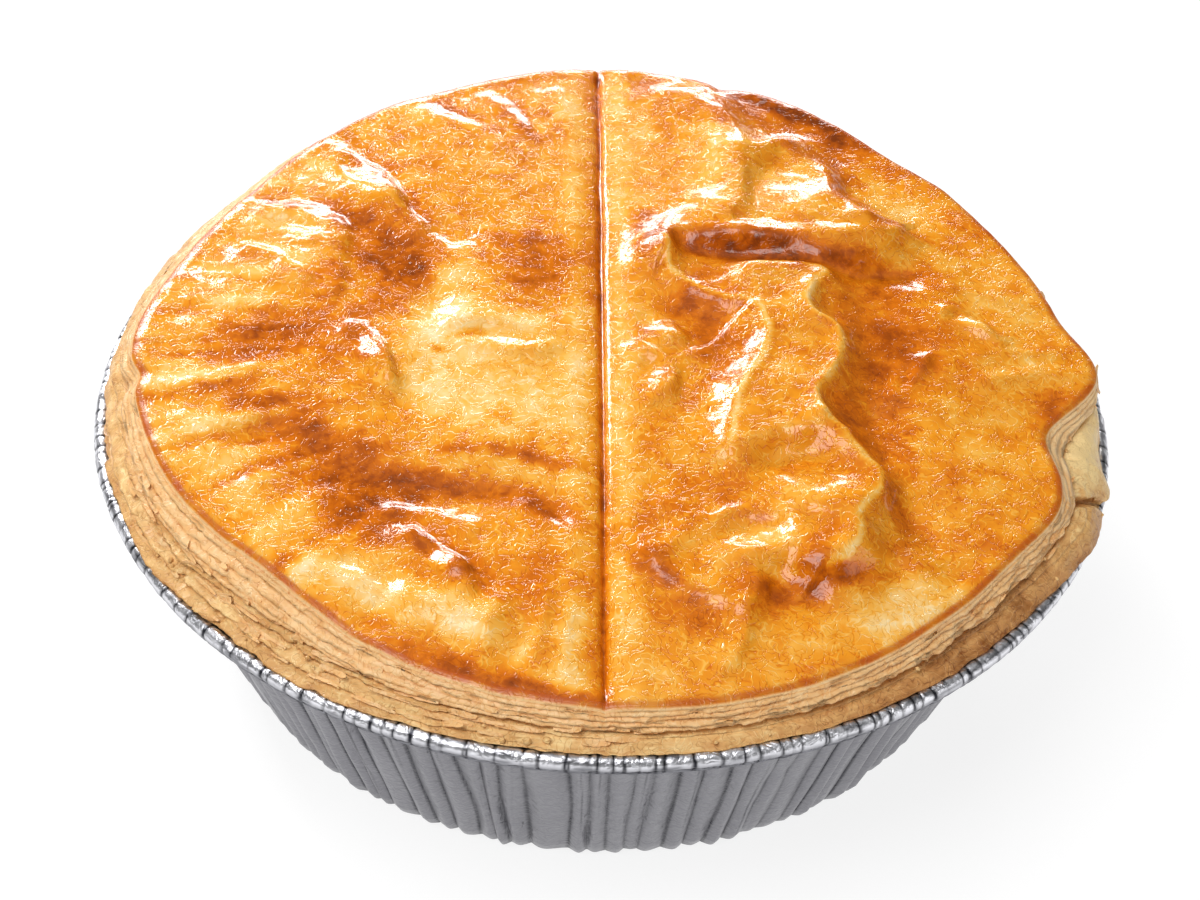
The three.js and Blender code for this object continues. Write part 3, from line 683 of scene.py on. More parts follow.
def collar_relief(around, t, block, terraces):
    """Lumps, a shallow groove and small cracks in the collar."""
    ring, sheet = (around, 0), (around, t * 4.0)
    push = ((0.14 + 0.16 * terraces) * lumps(sheet, 2.6, 58)
            + (0.06 + 0.12 * block) * lumps(sheet, 1.2, 59)
            + (0.2 + 0.5 * block) * lumps(sheet, 4.5, 60))
    groove = bump(t - 0.52 - 0.05 * lumps(ring, 14, 61), 0.05)
    push -= 0.28 * groove * (1 - terraces) * (1 - block)
    for turn, width, depth, start, stop in COLLAR_CRACKS:
        middle = math.radians((turn + 180) % 360 - 180) * EDGE_RADIUS
        bend = 0.5 * lumps((t * 6, turn), 1.5, 62)
        reach = smooth(start, start + 0.1, t) * (1 - smooth(stop - 0.1, stop, t))
        push -= depth * bump(around - middle + bend, width) * reach
    return push


def make_case():
    """The collar above the tray, then a plain wall down inside it."""
    piece, angle, row = ring_blank("pie_case", CASE_SIDES, CASE_ROWS)
    around = angle * EDGE_RADIUS
    ring = (around, 0)
    t = np.clip((row - COLLAR_FIRST) / (COLLAR_LAST - COLLAR_FIRST), 0, 1)
    block, terraces = lobe(angle, -10, 9), lobe(angle, 222, 40)
    overhang = lobes(angle, ((-14.5, 3.5, 1.2), (-23, 5.5, 1.9), (-30, 4, 0.7)))
    belly = lobes(angle, ((152, 30, 1.5), (0, 14, -0.3)), 0.25)
    top_r = (lid_radius(angle) + 0.9 * side_flare(angle) - 1.3 + 0.4 * terraces
             - 0.8 * lobe(angle, 4, 9))
    top_z = lid_bottom(angle) - 0.3
    gaps = smooth(0.25, 0.6, lumps(ring, 6, 50)) * lobe(angle, 218, 32)
    foot_r = (BEAD_CENTRE - 0.2 + overhang - 0.9 * gaps + 0.16 * lumps(ring, 3.0, 51)
              + 0.1 * lumps(ring, 1.3, 52))
    foot_z = RIM_HEIGHT + 1.12 + 0.2 * overhang + 0.1 * lumps(ring, 2.4, 53)
    boxy = np.clip(block + 0.8 * lobe(angle, -24, 6), 0, 1)
    out = top_r + (foot_r - top_r) * t ** (1 - 0.5 * boxy) + belly * np.sin(math.pi * t)
    z = top_z - (top_z - foot_z) * t ** (1.25 + 1.3 * boxy)

    push, tread_edge = collar_steps(around, t, terraces)
    push = push + collar_relief(around, t, block, terraces)
    crack_at = np.radians(CRACK_TOP + (CRACK_FOOT - CRACK_TOP) * t) * EDGE_RADIUS
    crack_bend = 0.6 * lumps((t * 5, 7), 1.6, 63)
    split = bump(around - crack_at + crack_bend, 0.6, 3) * smooth(0.1, 0.35, t)
    push -= 2.6 * split
    push *= ((row >= COLLAR_FIRST) & (row <= COLLAR_LAST)) * smooth(0, 0.06, t)
    out = out + push
    z = z - 1.1 * split * (1 - t) + push * (0.45 + 0.4 * block) * (1 - t)

    plain = {0: (top_r - 7, top_z - 1.1), 1: (top_r - 1.6, top_z - 0.3),
             COLLAR_LAST + 1: (foot_r - 0.55, foot_z - 0.28), COLLAR_LAST + 2: (59.6, 30.75)}
    wall_rows = range(COLLAR_LAST + 3, CASE_ROWS + 1)
    for k, level in zip(wall_rows, np.linspace(*WALL_LEVELS, len(wall_rows))):
        wall = BASE_RADIUS + (WALL_TOP_RADIUS - BASE_RADIUS) * level / WALL_TOP
        plain[k] = (wall - WALL_GAP, level)
    for k, (ring_out, ring_z) in plain.items():
        out = np.where(row == k, ring_out, out)
        z = np.where(row == k, ring_z, z)
    write_ring_points(piece, angle, out, z)
    # Baking colour, darker towards the foot and at the treads' edges and paler at the block and
    # beside the split's top, with painted shade darkening the split.
    baked = (0.3 + 0.3 * smooth(0.55, 1, t) + 0.25 * tread_edge * terraces + 0.6 * split
             - 1.6 * block * (1 - 0.5 * t) - 0.35 * lobe(angle, -26, 7) * (1 - t))
    # Painted shade darkens the front right, and the front left and the front are made paler.
    baked = lobes(angle, ((-45, 16, 0.5), (220, 42, -0.35), (-90, 20, -0.45)), baked)
    write_shades(piece, {"level": t * LEVEL_HEIGHT, "baked": baked})
    return finish_piece(piece)


# ---- Foil tray ----

TRAY_SIDES = 1780
WALL_ROWS = 20
BEAD_STEPS = 11
BEAD_START = -80
BEAD_TURN = 250
# Rows of the tray's section, from the middle of its underside out, up the wall, round the rolled
# rim and back inside: distance from the middle, height, how much of the flutes shows, and how much
# of the crimps.
TRAY_UNDERSIDE = ((4, 0.5, 0, 0), (20, 0.5, 0, 0), (33, 0.5, 0, 0), (40.2, 0.5, 0, 0),
                  (41.2, 0.05, 0, 0), (44.5, 0.0, 0.1, 0), (46.6, 0.05, 0.45, 0),
                  (47.5, 0.3, 0.8, 0))
TRAY_FLANGE = ((59.6, 29.45, 0.55, 0), (61.2, 29.45, 0.3, 0.2), (62.7, 29.3, 0.1, 0.6),
               (62.95, 29.42, 0, 0.8), (62.75, 29.62, 0, 0.8))
TRAY_INSIDE = ((60.6, 30.25, 0, 0.3), (59.2, 29.95, 0.2, 0), (58.3, 29.5, 0.4, 0),
               (55.5, 22.0, 0.5, 0), (51.2, 10.5, 0.5, 0), (47.6, 0.9, 0.3, 0), (40, 0.8, 0, 0),
               (20, 0.9, 0, 0), (4, 0.9, 0, 0))
# The crimps: the shortest section between two, how much longer some are, and each one's half width.
CRIMP_SHORTEST = 0.8
CRIMP_LONGER = 2.5
CRIMP_PINCH = 0.17
# CRIMP_LINE is the half width of the line of painted shade along each crimp.
CRIMP_LINE = 0.19


def tray_section():
    rows = list(TRAY_UNDERSIDE)
    for k in range(1, WALL_ROWS + 1):
        share = k / WALL_ROWS
        rows.append((BASE_RADIUS + (WALL_TOP_RADIUS - BASE_RADIUS) * share,
                     WALL_FOOT + (WALL_TOP - WALL_FOOT) * share, 1, 0))
    rows += TRAY_FLANGE
    for k in range(BEAD_STEPS):
        turn = math.radians(BEAD_START + k * BEAD_TURN / (BEAD_STEPS - 1))
        rows.append((BEAD_CENTRE + BEAD_RADIUS * math.cos(turn),
                     RIM_HEIGHT + BEAD_RADIUS * math.sin(turn), 0, 1))
    rows += TRAY_INSIDE
    return np.array(rows)


def flutes(angle, height):
    """How far the flutes push the tray's wall out, and how much painted shade each place gets in a
    crease.
    """
    around = angle * WALL_MIDDLE_RADIUS
    ring, sheet = (around, 0), (around, height * 6)
    phase = angle / (2 * math.pi) * FLUTES + 1.1 * lumps(ring, 15, 72) + 0.45 * lumps(ring, 5, 73)
    phase += (0.8 * (height - 0.4) * lumps(ring, 30, 74)
              + 0.2 * lumps((around, height * 8), 5, 75))
    pleat = np.floor(phase).astype(int)
    strong = 0.4 + hashed(np.stack([pleat, pleat * 0 + 2, pleat * 0], axis=1), 76)
    wave = np.abs(np.sin(math.pi * phase))
    ridge = (0.55 * wave**0.4 + 0.45 * wave * wave) * strong
    second = np.abs(np.sin(math.pi * (phase + 0.42 + 0.1 * lumps(sheet, 6, 77))))
    reach = smooth(-0.1, 0.5,
                   lumps((around, height * 3), 4, 78) + 0.7 * (height - 0.55))
    second_crease = np.clip(1 - second * 5, 0, 1) * reach
    slanted = (around + 3.0 * height, height * 9)
    dents = (0.2 * lumps(sheet, 2.6, 79) + 0.26 * lumps(sheet, 7, 80)
             - 0.32 * creases(slanted, 4.2, 88) * smooth(-0.2, 0.3, lumps(sheet, 5, 89)))
    push = 0.8 * (ridge - 0.62) - 0.22 * second_crease + dents
    painted_crease_shade = np.clip(1 - wave * 3.2, 0, 1) * strong + 0.8 * second_crease + 0.25 * (1 - wave)
    return push, painted_crease_shade


def crimps():
    """Places of the creases round the rolled rim, at uneven distances."""
    places = [0.0]
    while places[-1] < 2 * math.pi - 0.05:
        pick = float(hashed(np.array([[len(places), 3, 5]]), 71)[0])
        places.append(places[-1] + (CRIMP_SHORTEST + CRIMP_LONGER * pick) / RIM_RADIUS)
    return np.array(places[:-1]) * RIM_RADIUS


def rim_sections(angle, slant):
    """The distance to the nearest crimp of the rim, and which section between crimps it is."""
    places = crimps()
    turned = (angle % (2 * math.pi)) * RIM_RADIUS
    section = np.searchsorted(places, turned, side="right") - 1
    cells = np.stack([section, section * 0, section * 0], axis=1)
    turned = turned + slant * (hashed(cells, 81) * 2 - 1)
    next_place = places[(section + 1) % len(places)]
    return np.minimum(np.abs(turned - places[section]), np.abs(turned - next_place)), cells


def make_tray():
    """A fluted wall with a flat base and a crimped, rolled rim."""
    section = tray_section()
    piece, angle, row = ring_blank("foil_pie_tray", TRAY_SIDES, len(section) - 1)
    out, z, pleated, crimped = (section[row, k].copy() for k in range(4))
    around = angle * WALL_MIDDLE_RADIUS
    ring = (around, 0)
    push, painted_crease_shade = flutes(angle, z / WALL_TOP)
    slant = np.where(crimped > 0, (out - BEAD_CENTRE) * 0.25, 0)
    to_crimp, cells = rim_sections(angle, slant)
    swell = 0.07 * (hashed(cells, 82) - 0.5) + 0.1 * lumps((around, z * 2), 1.4, 83)
    bead = crimped * (swell - 0.1 * bump(to_crimp, CRIMP_PINCH, 1.5))
    from_bead_x, from_bead_z = out - BEAD_CENTRE, z - RIM_HEIGHT
    length = np.maximum(np.hypot(from_bead_x, from_bead_z), 0.2)
    out = (out + pleated * push + bead * from_bead_x / length
           + crimped * 0.12 * lumps(ring, 21, 84))
    uneven_base = lumps((out * np.cos(angle), out * np.sin(angle)), 9, 86)
    z = (z + bead * from_bead_z / length + crimped * 0.15 * lumps(ring, 17, 85)
         + (1 - pleated) * (z < 1) * 0.08 * uneven_base)
    write_ring_points(piece, angle, out, np.maximum(z, 0))
    rim = np.clip(crimped * 1.5, 0, 1)
    rim_turn = np.arctan2(from_bead_z, from_bead_x)
    streaks = lumps((around * 0.22, rim_turn * 1.5), 0.8, 87)
    write_shades(piece, {
        # Painted shade in the flutes' creases and along the crimps.
        "crease": pleated * painted_crease_shade + 1.25 * crimped * bump(to_crimp, CRIMP_LINE),
        # Painted sheen on the rim, and painted shade under it.
        "rim": rim,
        "rim_painted_shade": rim * smooth(0.35, -0.45, from_bead_z / length),
        "rim_streaks": crimped * smooth(0.12, 0.4, streaks),
    })
    return finish_piece(piece)


# ---- Flakes and crumbs ----

FLAKES = 150
FLAKE_THICKNESS = 0.08
CRUMBS = 46
# The crumbs that are set one by one: angle in degrees, how far down the side, and size.
SET_CRUMBS = ((261.5, 0.93, 0.62), (263.5, 0.86, 0.45), (259.0, 0.97, 0.4), (-13, 0.62, 0.5),
              (-21, 0.6, 0.45))


def side_spot(angle, level):
    """A point on the pie's side, from 0 at the lid's edge to 1 at the tray, in millimetres."""
    edge = lid_radius(angle)
    top = dome_height(edge * np.cos(angle), edge * np.sin(angle))
    foot_r, foot_z = BEAD_CENTRE - 0.6 + 1.7 * lobe(angle, -20, 12), RIM_HEIGHT + 1.4
    middle_r, middle_z = edge + side_flare(angle) - 0.2, lid_bottom(angle)
    if level < 0.5:
        share = level * 2
        return edge + (middle_r - edge) * share, top - 0.8 + (middle_z - top + 0.8) * share
    share = level * 2 - 1
    return middle_r + (foot_r - middle_r) * share, middle_z + (foot_z - middle_z) * share**1.3


def placed(points, angle, out, z, spin, lean):
    """Turns points about their own middle and sets them on the pie's side."""
    turn = (Matrix.Rotation(angle, 3, "Z") @ Matrix.Rotation(lean, 3, "Y")
            @ Matrix.Rotation(spin, 3, "X"))
    return points @ np.array(turn).T + np.array([out * math.cos(angle), out * math.sin(angle), z])


def copies(name, pattern, places):
    """Copies of a small piece, each shaped and placed by its own points, joined into one."""
    made = []
    for points in places:
        one = pattern.copy()
        one.data = pattern.data.copy()
        bpy.context.collection.objects.link(one)
        write_points(one, points)
        made.append(one)
    take(made[0])
    for one in made:
        one.select_set(True)
    bpy.ops.object.join()
    joined = new_piece(name)
    bpy.data.objects.remove(pattern)
    return joined


def flake_place(rng):
    """Half of the flakes stand at the front left, most others at the right, the rest all round."""
    pick = rng.random()
    if pick < 0.5:
        return math.radians(rng.normal(224, 22)), rng.uniform(0.25, 0.95)
    if pick < 0.78:
        return math.radians(rng.normal(-33, 14)), rng.uniform(0.2, 0.62)
    return math.radians(rng.uniform(0, 360)), rng.uniform(0.25, 0.6)


def make_flakes():
    """Thin torn leaves of pastry that stand out of the side."""
    rng = np.random.default_rng(17)
    deselect()
    bpy.ops.mesh.primitive_grid_add(x_subdivisions=2, y_subdivisions=7, size=2)
    pattern = new_piece("flake_pattern")
    thicken = pattern.modifiers.new("thickness", "SOLIDIFY")
    thicken.thickness = FLAKE_THICKNESS
    take(pattern)
    bpy.ops.object.modifier_apply(modifier=thicken.name)
    u, v, through = read_points(pattern).T
    places = []
    for k in range(FLAKES):
        angle, level = flake_place(rng)
        long, wide = rng.uniform(0.8, 3.0), rng.uniform(0.15, 0.4)
        ragged = 1 + 0.35 * lumps((u * 5 + 9 * k, v * 4), 1.3, 91)
        across, along = u * wide * ragged * (1 - 0.45 * v**4), v * long
        curl = rng.uniform(-0.3, 0.5) * v**2
        bent = through + curl + 0.12 * lumps((along, k * 7.0), 0.9, 92)
        out, z = side_spot(angle, level)
        places.append(placed(np.stack([across, along, bent], axis=1), angle,
                             out + rng.uniform(-0.05, 0.3), z,
                             rng.normal(0, 0.16), rng.normal(0.75, 0.3)))
    return finish_piece(copies("pastry_flakes", pattern, places), 40)


def make_crumbs():
    """Small crumbs on the ledge above the tray's rim and in the broken edge."""
    rng = np.random.default_rng(29)
    deselect()
    bpy.ops.mesh.primitive_ico_sphere_add(subdivisions=2, radius=1)
    pattern = new_piece("crumb_pattern")
    shape = read_points(pattern)
    blocky = np.sign(shape) * np.abs(shape) ** 0.75
    spots = list(SET_CRUMBS)
    while len(spots) < CRUMBS:
        middle = (222, -20, 300, 90)[len(spots) % 4]
        spots.append((rng.normal(middle, 16 if middle > 0 else 7), rng.uniform(0.55, 1.0),
                      rng.uniform(0.12, 0.38)))
    places = []
    for k, (turn, level, size) in enumerate(spots):
        angle = math.radians(turn)
        out, z = side_spot(angle, level)
        rough = 1 + 0.3 * lumps(shape * 2.2 + 5 * k, 1.0, 95)
        points = blocky * size * 0.75 * rough[:, None] * rng.uniform(0.7, 1.25, 3)
        places.append(placed(points, angle, out + 0.2, z + 0.3 * size, rng.uniform(0, 3),
                             rng.uniform(0, 3)))
    return finish_piece(copies("pastry_crumbs", pattern, places), 50)


# ---- Materials ----


class Wire:
    """A node's output, which adds and multiplies like a number, by a node for each step."""

    def __init__(self, socket):
        self.socket = socket
        self.tree = socket.id_data

    def math(self, operation, other=0.0, clamp=False):
        return add(self.tree, "Math", {0: self, 1: other}, operation=operation, use_clamp=clamp)[0]

    def __add__(self, other):
        return self.math("ADD", other)

    def __sub__(self, other):
        return self.math("SUBTRACT", other)

    def __mul__(self, other):
        return self.math("MULTIPLY", other)

    def __abs__(self):
        return self.math("ABSOLUTE")


def wires(sockets):
    """Each socket as a wire, by its number and by its name."""
    return {key: Wire(socket) for k, socket in enumerate(sockets) for key in (k, socket.name)}


def add(tree, kind, inputs=None, **settings):
    """Adds a node with its settings, and each input linked or set, and gives its outputs."""
    made = tree.nodes.new("ShaderNode" + kind)
    for key, value in settings.items():
        setattr(made, key, value)
    for key, value in (inputs or {}).items():
        if isinstance(value, Wire):
            tree.links.new(value.socket, made.inputs[key])
        else:
            made.inputs[key].default_value = value
    return wires(made.outputs)


def spread(value, low, high, to_low=0.0, to_high=1.0):
    """Turns low to high into to_low to to_high, with a smooth change between."""
    return add(value.tree, "MapRange", {"Value": value, "From Min": low, "From Max": high,
                                        "To Min": to_low, "To Max": to_high},
               interpolation_type="SMOOTHSTEP")[0]


def mixed(share, first, second):
    return add(share.tree, "Mix", {0: share, 6: first, 7: second}, data_type="RGBA")[2]


def mixed_number(share, first, second):
    return add(share.tree, "Mix", {0: share, 2: first, 3: second})[0]


def ramp(value, stops):
    made = value.tree.nodes.new("ShaderNodeValToRGB")
    value.tree.links.new(value.socket, made.inputs[0])
    line = made.color_ramp.elements
    for k, (place, tint) in enumerate(stops):
        stop = line[k] if k < 2 else line.new(place)
        stop.position = place
        stop.color = tint
    return Wire(made.outputs[0])


def vector(operation, first, second, output=0):
    return add(first.tree, "VectorMath", {0: first, 1: second}, operation=operation)[output]


def scaled(value, amount):
    return add(value.tree, "VectorMath", {0: value, "Scale": amount}, operation="SCALE")[0]


def noise(place, scale, detail=2.0, rough=0.5, distortion=0.0, output="Fac"):
    return add(place.tree, "TexNoise", {"Vector": place, "Scale": scale, "Detail": detail,
                                        "Roughness": rough, "Distortion": distortion})[output]


def shade(tree, name):
    return add(tree, "Attribute", attribute_name=name, attribute_type="GEOMETRY")["Fac"]


def new_effect(name, *inputs):
    """A group of nodes, and its inputs. Place is a vector, and any other is a number."""
    tree = bpy.data.node_groups.new(name, "ShaderNodeTree")
    for label in inputs:
        kind = "NodeSocketVector" if label == "Place" else "NodeSocketFloat"
        tree.interface.new_socket(label, in_out="INPUT", socket_type=kind)
    return tree, wires(tree.nodes.new("NodeGroupInput").outputs)


def finish_effect(tree, **results):
    for label in results:
        tree.interface.new_socket(label, in_out="OUTPUT", socket_type="NodeSocketFloat")
    ends = tree.nodes.new("NodeGroupOutput").inputs
    for label, value in results.items():
        tree.links.new(value.socket, ends[label])
    return tree


def crackled_crust():
    """Fine crinkles of baked egg wash: small tilted facets and short curved strokes."""
    tree, given = new_effect("crackled_crust", "Place")
    half = (0.5, 0.5, 0.5)
    drift = vector("SUBTRACT", noise(given["Place"], 0.45, 1.0, output="Color"), half)
    place = vector("ADD", given["Place"], scaled(drift, 2.4))
    cells = add(tree, "TexVoronoi", {"Vector": place, "Scale": 0.55}, feature="F1")
    offset = vector("SUBTRACT", place, cells["Position"])
    facets = vector("DOT_PRODUCT", offset, vector("SUBTRACT", cells["Color"], half), "Value")
    strokes = []
    for shift, scale in (((0.0, 0.0, 0.0), 1.0), ((31.0, 17.0, 5.0), 1.2)):
        field = noise(vector("ADD", place, shift), scale, 0.0)
        strokes.append(spread(abs(field - 0.5), 0.005, 0.055, 1.0, 0.0))
    broken = noise(given["Place"], 0.7, 0.0)
    # Pale strokes are raised and dark ones sunken. Where they tint a material, the tint is partly
    # crackle colour and partly painted highlight and painted shade.
    pale = strokes[0] * spread(broken, 0.3, 0.46)
    dark = strokes[1] * spread(broken, 0.64, 0.52)
    grain = noise(given["Place"], 2.6, 2.0, 0.6)
    height = facets * 0.5 + pale * 0.36 + dark * -0.4 + grain * 0.03
    return finish_effect(tree, Height=height, Pale=pale, Dark=dark)


def pastry_layers():
    """Long fine leaves and a few short cracks that run round a cut or folded pastry edge."""
    tree, given = new_effect("pastry_layers", "Place", "Level")
    place, level = given["Place"], given["Level"]
    parts = add(tree, "SeparateXYZ", {0: place})

    def stretched(round_it, down):
        return add(tree, "CombineXYZ", {0: parts["X"] * round_it, 1: parts["Y"] * round_it,
                                        2: level * down})[0]

    strip = stretched(0.3, 1.9)
    long = noise(strip, 1.0, 3.0, 0.55, 0.3)
    edge = spread(abs(noise(strip, 1.4, 1.0) - 0.5), 0.0, 0.03, 1.0, 0.0)
    lumpy = noise(place, 0.6, 2.0, 0.55)
    grain = noise(place, 3.0, 1.0, 0.6)
    gap = abs(noise(stretched(0.7, 0.4), 1.3, 0.0) - 0.5)
    crack = spread(gap, 0.0, 0.03, 1.0, 0.0) * spread(noise(place, 0.5, 0.0), 0.4, 0.6)
    height = long * 0.55 + edge * -0.05 + lumpy * 0.9 + grain * 0.2 + crack * -0.2
    tone = long * -0.5 + edge * 0.03 + lumpy * 0.55 + crack * 0.08 + 0.3
    return finish_effect(tree, Height=height, Tone=tone)


def colour(red, green, blue):
    """A colour given from 0 to 255 as it is seen, as the shader's own numbers."""
    parts = [c / 255 for c in (red, green, blue)]
    return tuple(c / 12.92 if c <= 0.04045 else ((c + 0.055) / 1.055) ** 2.4
                 for c in parts) + (1.0,)


def grey(level):
    return (level, level, level, 1.0)


# How deep each finish's bumps are, in metres.
GLAZE_RELIEF = 0.00007
PASTRY_RELIEF = 0.00018
FOIL_RELIEF = 0.00016
FLOOR_RELIEF = 0.00001
# The colours of each pastry, and where from pale to dark each stands.
GLAZE_COLOURS = [(0.0, colour(255, 226, 172)), (1.0, colour(126, 54, 4)),
                 (0.16, colour(255, 210, 132)), (0.32, colour(252, 184, 72)),
                 (0.48, colour(243, 154, 28)), (0.64, colour(221, 116, 6)),
                 (0.82, colour(178, 82, 0))]
LEAF_COLOURS = [(0.0, colour(252, 214, 158)), (0.4, colour(240, 184, 118)),
                (0.75, colour(214, 142, 74)), (1.0, colour(168, 92, 34))]
CASE_COLOURS = [(0.0, colour(255, 222, 158)), (0.35, colour(228, 178, 112)),
                (0.65, colour(200, 142, 82)), (1.0, colour(138, 80, 32))]
EDGE_LINE_COLOUR = colour(184, 80, 6)
FOIL_WALL = colour(138, 137, 142)
# The rim is the wall's own foil: its bright tint is painted sheen and its underside tint painted
# shade.
FOIL_RIM_PAINTED_SHEEN = colour(240, 240, 245)
FOIL_RIM_PAINTED_SHADE = colour(150, 150, 156)
FOIL_STREAK = colour(92, 92, 98)
# Painted shade for the creases of the flutes and the crimps.
FOIL_PAINTED_CREASE_SHADE = colour(52, 52, 58)


def new_material(name):
    """A material with no nodes, its tree, and a surface's place on it in millimetres."""
    made = bpy.data.materials.new(name)
    made.use_nodes = True
    tree = made.node_tree
    tree.nodes.clear()
    return made, tree, scaled(add(tree, "TexCoord")["Object"], 1 / MM)


def finish_material(tree, inputs, relief, depth):
    bumps = add(tree, "Bump", {"Height": relief, "Distance": depth, "Strength": 1.0})
    surface = add(tree, "BsdfPrincipled", {**inputs, "Normal": bumps[0]})
    add(tree, "OutputMaterial", {0: surface[0]})


def glazed_pastry(crackle, layers):
    """The lid: egg glaze on its top, and torn leaves down its side."""
    made, tree, place = new_material("glazed_puff_pastry")
    crust = add(tree, "Group", {"Place": place}, node_tree=crackle)
    side = add(tree, "Group", {"Place": place, "Level": shade(tree, "depth")}, node_tree=layers)
    # The browning numbers hold baking colour, a painted highlight on the two long crests, and
    # painted shade and highlight at the pressed line.
    leaves, baked = shade(tree, "leaves"), shade(tree, "browning_and_painted_light")
    cloudy = noise(place, 0.3, 2.0, 0.5, 0.3) - 0.5
    speckled = spread(noise(place, 0.8, 2.0, 0.6), 0.35, 0.65, 0.27, 0.4)
    drawn = spread(baked, 0.1, 0.9, 1.0, 0.35)
    # The pale and dark strokes tint the glaze: partly crackle colour, partly painted highlight and
    # painted shade.
    tone = (baked * speckled + cloudy * 0.55 + crust["Pale"] * -0.15 * drawn
            + crust["Dark"] * 0.12 * drawn)
    glaze = ramp(tone.math("ADD", 0.49, clamp=True), GLAZE_COLOURS)
    # The leaf tone darkens with painted shade in the gaps between leaves.
    leaf_tone = (side["Tone"] + shade(tree, "painted_gap_shade") * 0.42 + crust["Pale"] * -0.14
                 + crust["Dark"] * 0.18)
    leaf_colour = ramp(leaf_tone.math("SUBTRACT", 0.18, clamp=True), LEAF_COLOURS)
    line = shade(tree, "edge_line").math("MULTIPLY", spread(cloudy, -0.25, 0.2, 0.5, 0.85), True)
    base = mixed(line, mixed(leaves, glaze, leaf_colour), EDGE_LINE_COLOUR)
    rough = leaves.math("MAXIMUM", line) * 0.28 + spread(cloudy, -0.2, 0.2, 0.08, 0.13)
    height = crust["Height"] * mixed_number(leaves, drawn, 1.2) + side["Height"] * (leaves * 1.7)
    finish_material(tree, {"Base Color": base, "Roughness": rough, "Specular IOR Level": 0.48,
                           "IOR": 1.5}, height, GLAZE_RELIEF)
    return made


def pale_pastry(name, crackle, layers, stops, level_name=None, baked_name=None):
    """Pale pastry in fine layers, which follow the piece's own levels or its height."""
    made, tree, place = new_material(name)
    level = shade(tree, level_name) if level_name else add(tree, "SeparateXYZ", {0: place})["Z"]
    side = add(tree, "Group", {"Place": place, "Level": level}, node_tree=layers)
    crust = add(tree, "Group", {"Place": place}, node_tree=crackle)
    # The pale and dark strokes tint the pastry: partly crackle colour, partly painted highlight and
    # painted shade.
    tone = side["Tone"] + crust["Pale"] * -0.16 + crust["Dark"] * 0.18
    # On the case, the baked numbers hold baking colour and also painted shade in the split and at
    # the front right.
    if baked_name:
        tone = tone + shade(tree, baked_name) * 0.5
    tone = (tone + (noise(place, 0.35, 3.0) - 0.5) * 0.6).math("SUBTRACT", 0.03, clamp=True)
    rough = spread(side["Height"], 0.2, 1.2, 0.46, 0.34)
    height = side["Height"] + crust["Height"] * 0.5
    finish_material(tree, {"Base Color": ramp(tone, stops), "Roughness": rough,
                           "Specular IOR Level": 0.4, "IOR": 1.45}, height, PASTRY_RELIEF)
    return made


def crimped_foil():
    """Thin rolled foil: a dull wrinkled wall, a rim brightened by painted sheen with painted shade
    below, and creases darkened by painted shade.
    """
    made, tree, place = new_material("crimped_foil")
    fine = noise(place, 1.6, 4.0, 0.6)
    wrinkle = abs(noise(place, 0.55, 2.0, 0.5, 0.8) - 0.5)
    tint = mixed(shade(tree, "rim"), FOIL_WALL, FOIL_RIM_PAINTED_SHEEN)
    tint = mixed(shade(tree, "rim_painted_shade"), tint, FOIL_RIM_PAINTED_SHADE)
    tint = mixed(shade(tree, "rim_streaks") * 0.7, tint, FOIL_STREAK)
    tint = mixed(shade(tree, "crease").math("MULTIPLY", 0.85, clamp=True), tint, FOIL_PAINTED_CREASE_SHADE)
    rough = spread(fine, 0.3, 0.7, 0.33, 0.42)
    finish_material(tree, {"Base Color": tint, "Roughness": rough, "Metallic": 1.0},
                    wrinkle * 2.6 + fine * 0.5, FOIL_RELIEF)
    return made


def pale_floor_paint():
    made, tree, place = new_material("pale_floor_paint")
    tint = ramp(noise(place, 0.02), [(0.3, grey(0.2)), (0.7, grey(0.22))])
    finish_material(tree, {"Base Color": tint, "Roughness": 0.9, "Emission Color": grey(1),
                           "Emission Strength": 0.84, "Specular IOR Level": 0.2},
                    noise(place, 0.6), FLOOR_RELIEF)
    return made


def wear(piece, material):
    piece.data.materials.clear()
    piece.data.materials.append(material)


# ---- Camera, light and floor ----

CAMERA_PLACE = (-11.616, -291.239, 264.087)
CAMERA_RIGHT = (0.999313, -0.009848, 0.035734)
CAMERA_UP = (-0.021287, 0.636725, 0.770797)
CAMERA_FORWARD = (0.030344, 0.771028, -0.636078)
CAMERA_LENS = 88.656
CAMERA_SENSOR = 36
# Each light's place in metres, its width and height, and its power in watts. All point at the pie.
LIGHTS = (("left_box", (-0.3275, 0.524, 0.3616), 0.18, 0.20, 2.8),
          ("back_strip", (-0.035, 0.68, 0.19), 0.42, 0.13, 2.3),
          ("top_soft", (-0.28, -0.27, 0.68), 0.50, 0.50, 4.35),
          ("right_fill", (0.62, -0.3, 0.22), 0.50, 0.35, 0.8))
LIGHT_AIM = Vector((0, 0, 0.033))
# The studio's brightness from below to above, dim at eye level, and how strong it is.
STUDIO = ((0.0, grey(0.8)), (1.0, grey(1.0)), (0.5, grey(0.12)), (0.86, grey(0.25)))
STUDIO_STRENGTH = 0.45
FLOOR_SIZE = 6


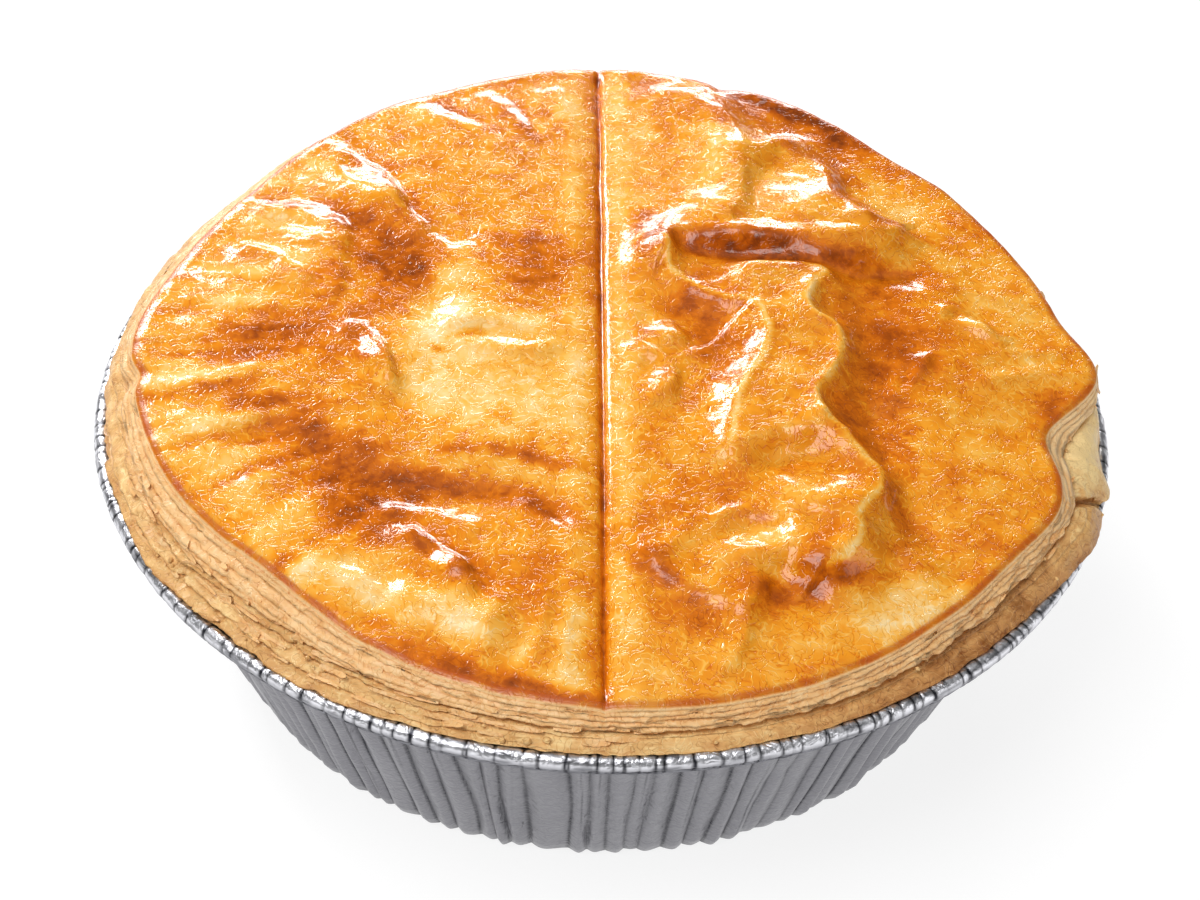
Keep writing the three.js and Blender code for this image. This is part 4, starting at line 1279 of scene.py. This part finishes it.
def add_camera():
    bpy.ops.object.camera_add()
    camera = bpy.context.object
    camera.name = "pie_camera"
    camera.data.lens = CAMERA_LENS
    camera.data.sensor_width = CAMERA_SENSOR
    camera.data.clip_start = 0.01
    right, up, back = Vector(CAMERA_RIGHT), Vector(CAMERA_UP), -Vector(CAMERA_FORWARD)
    turn = Matrix((right, up, back)).transposed().to_4x4()
    camera.matrix_world = Matrix.Translation(Vector(CAMERA_PLACE) * MM) @ turn
    bpy.context.scene.camera = camera


def add_lights():
    for name, place, width, height, power in LIGHTS:
        bpy.ops.object.light_add(type="AREA", location=place)
        light = bpy.context.object
        light.name = name
        light.data.shape = "RECTANGLE"
        light.data.size = width
        light.data.size_y = height
        light.data.energy = power
        light.rotation_euler = (LIGHT_AIM - Vector(place)).to_track_quat("-Z", "Y").to_euler()
    world = bpy.data.worlds.new("pale_studio")
    world.use_nodes = True
    tree = world.node_tree
    tree.nodes.clear()
    up = add(tree, "SeparateXYZ", {0: add(tree, "TexCoord")["Generated"]})["Z"]
    sky = ramp(up * 0.5 + 0.5, STUDIO)
    background = add(tree, "Background", {"Color": sky, "Strength": STUDIO_STRENGTH})
    add(tree, "OutputWorld", {0: background[0]})
    bpy.context.scene.world = world


# ---- The pie ----

add_camera()
add_lights()
bpy.context.scene.view_settings.view_transform = "Standard"

crackle = crackled_crust()
layers = pastry_layers()

lid = make_lid()
wear(lid, glazed_pastry(crackle, layers))
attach(lid, "root")
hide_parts("pastry_lid")

case = make_case()
wear(case, pale_pastry("baked_shortcrust", crackle, layers, CASE_COLOURS, "level", "baked"))
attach(case, "root")
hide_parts("pastry_case")

tray = make_tray()
wear(tray, crimped_foil())
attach(tray, "root")
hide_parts("foil_tray")

flakes = make_flakes()
wear(flakes, pale_pastry("flaky_leaves", crackle, layers, LEAF_COLOURS))
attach(flakes, "root")

crumbs = make_crumbs()
wear(crumbs, pale_pastry("pastry_crumb", crackle, layers, CASE_COLOURS))
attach(crumbs, "root")

deselect()
bpy.ops.mesh.primitive_plane_add(size=FLOOR_SIZE)
floor = new_piece("pale_floor")
wear(floor, pale_floor_paint())
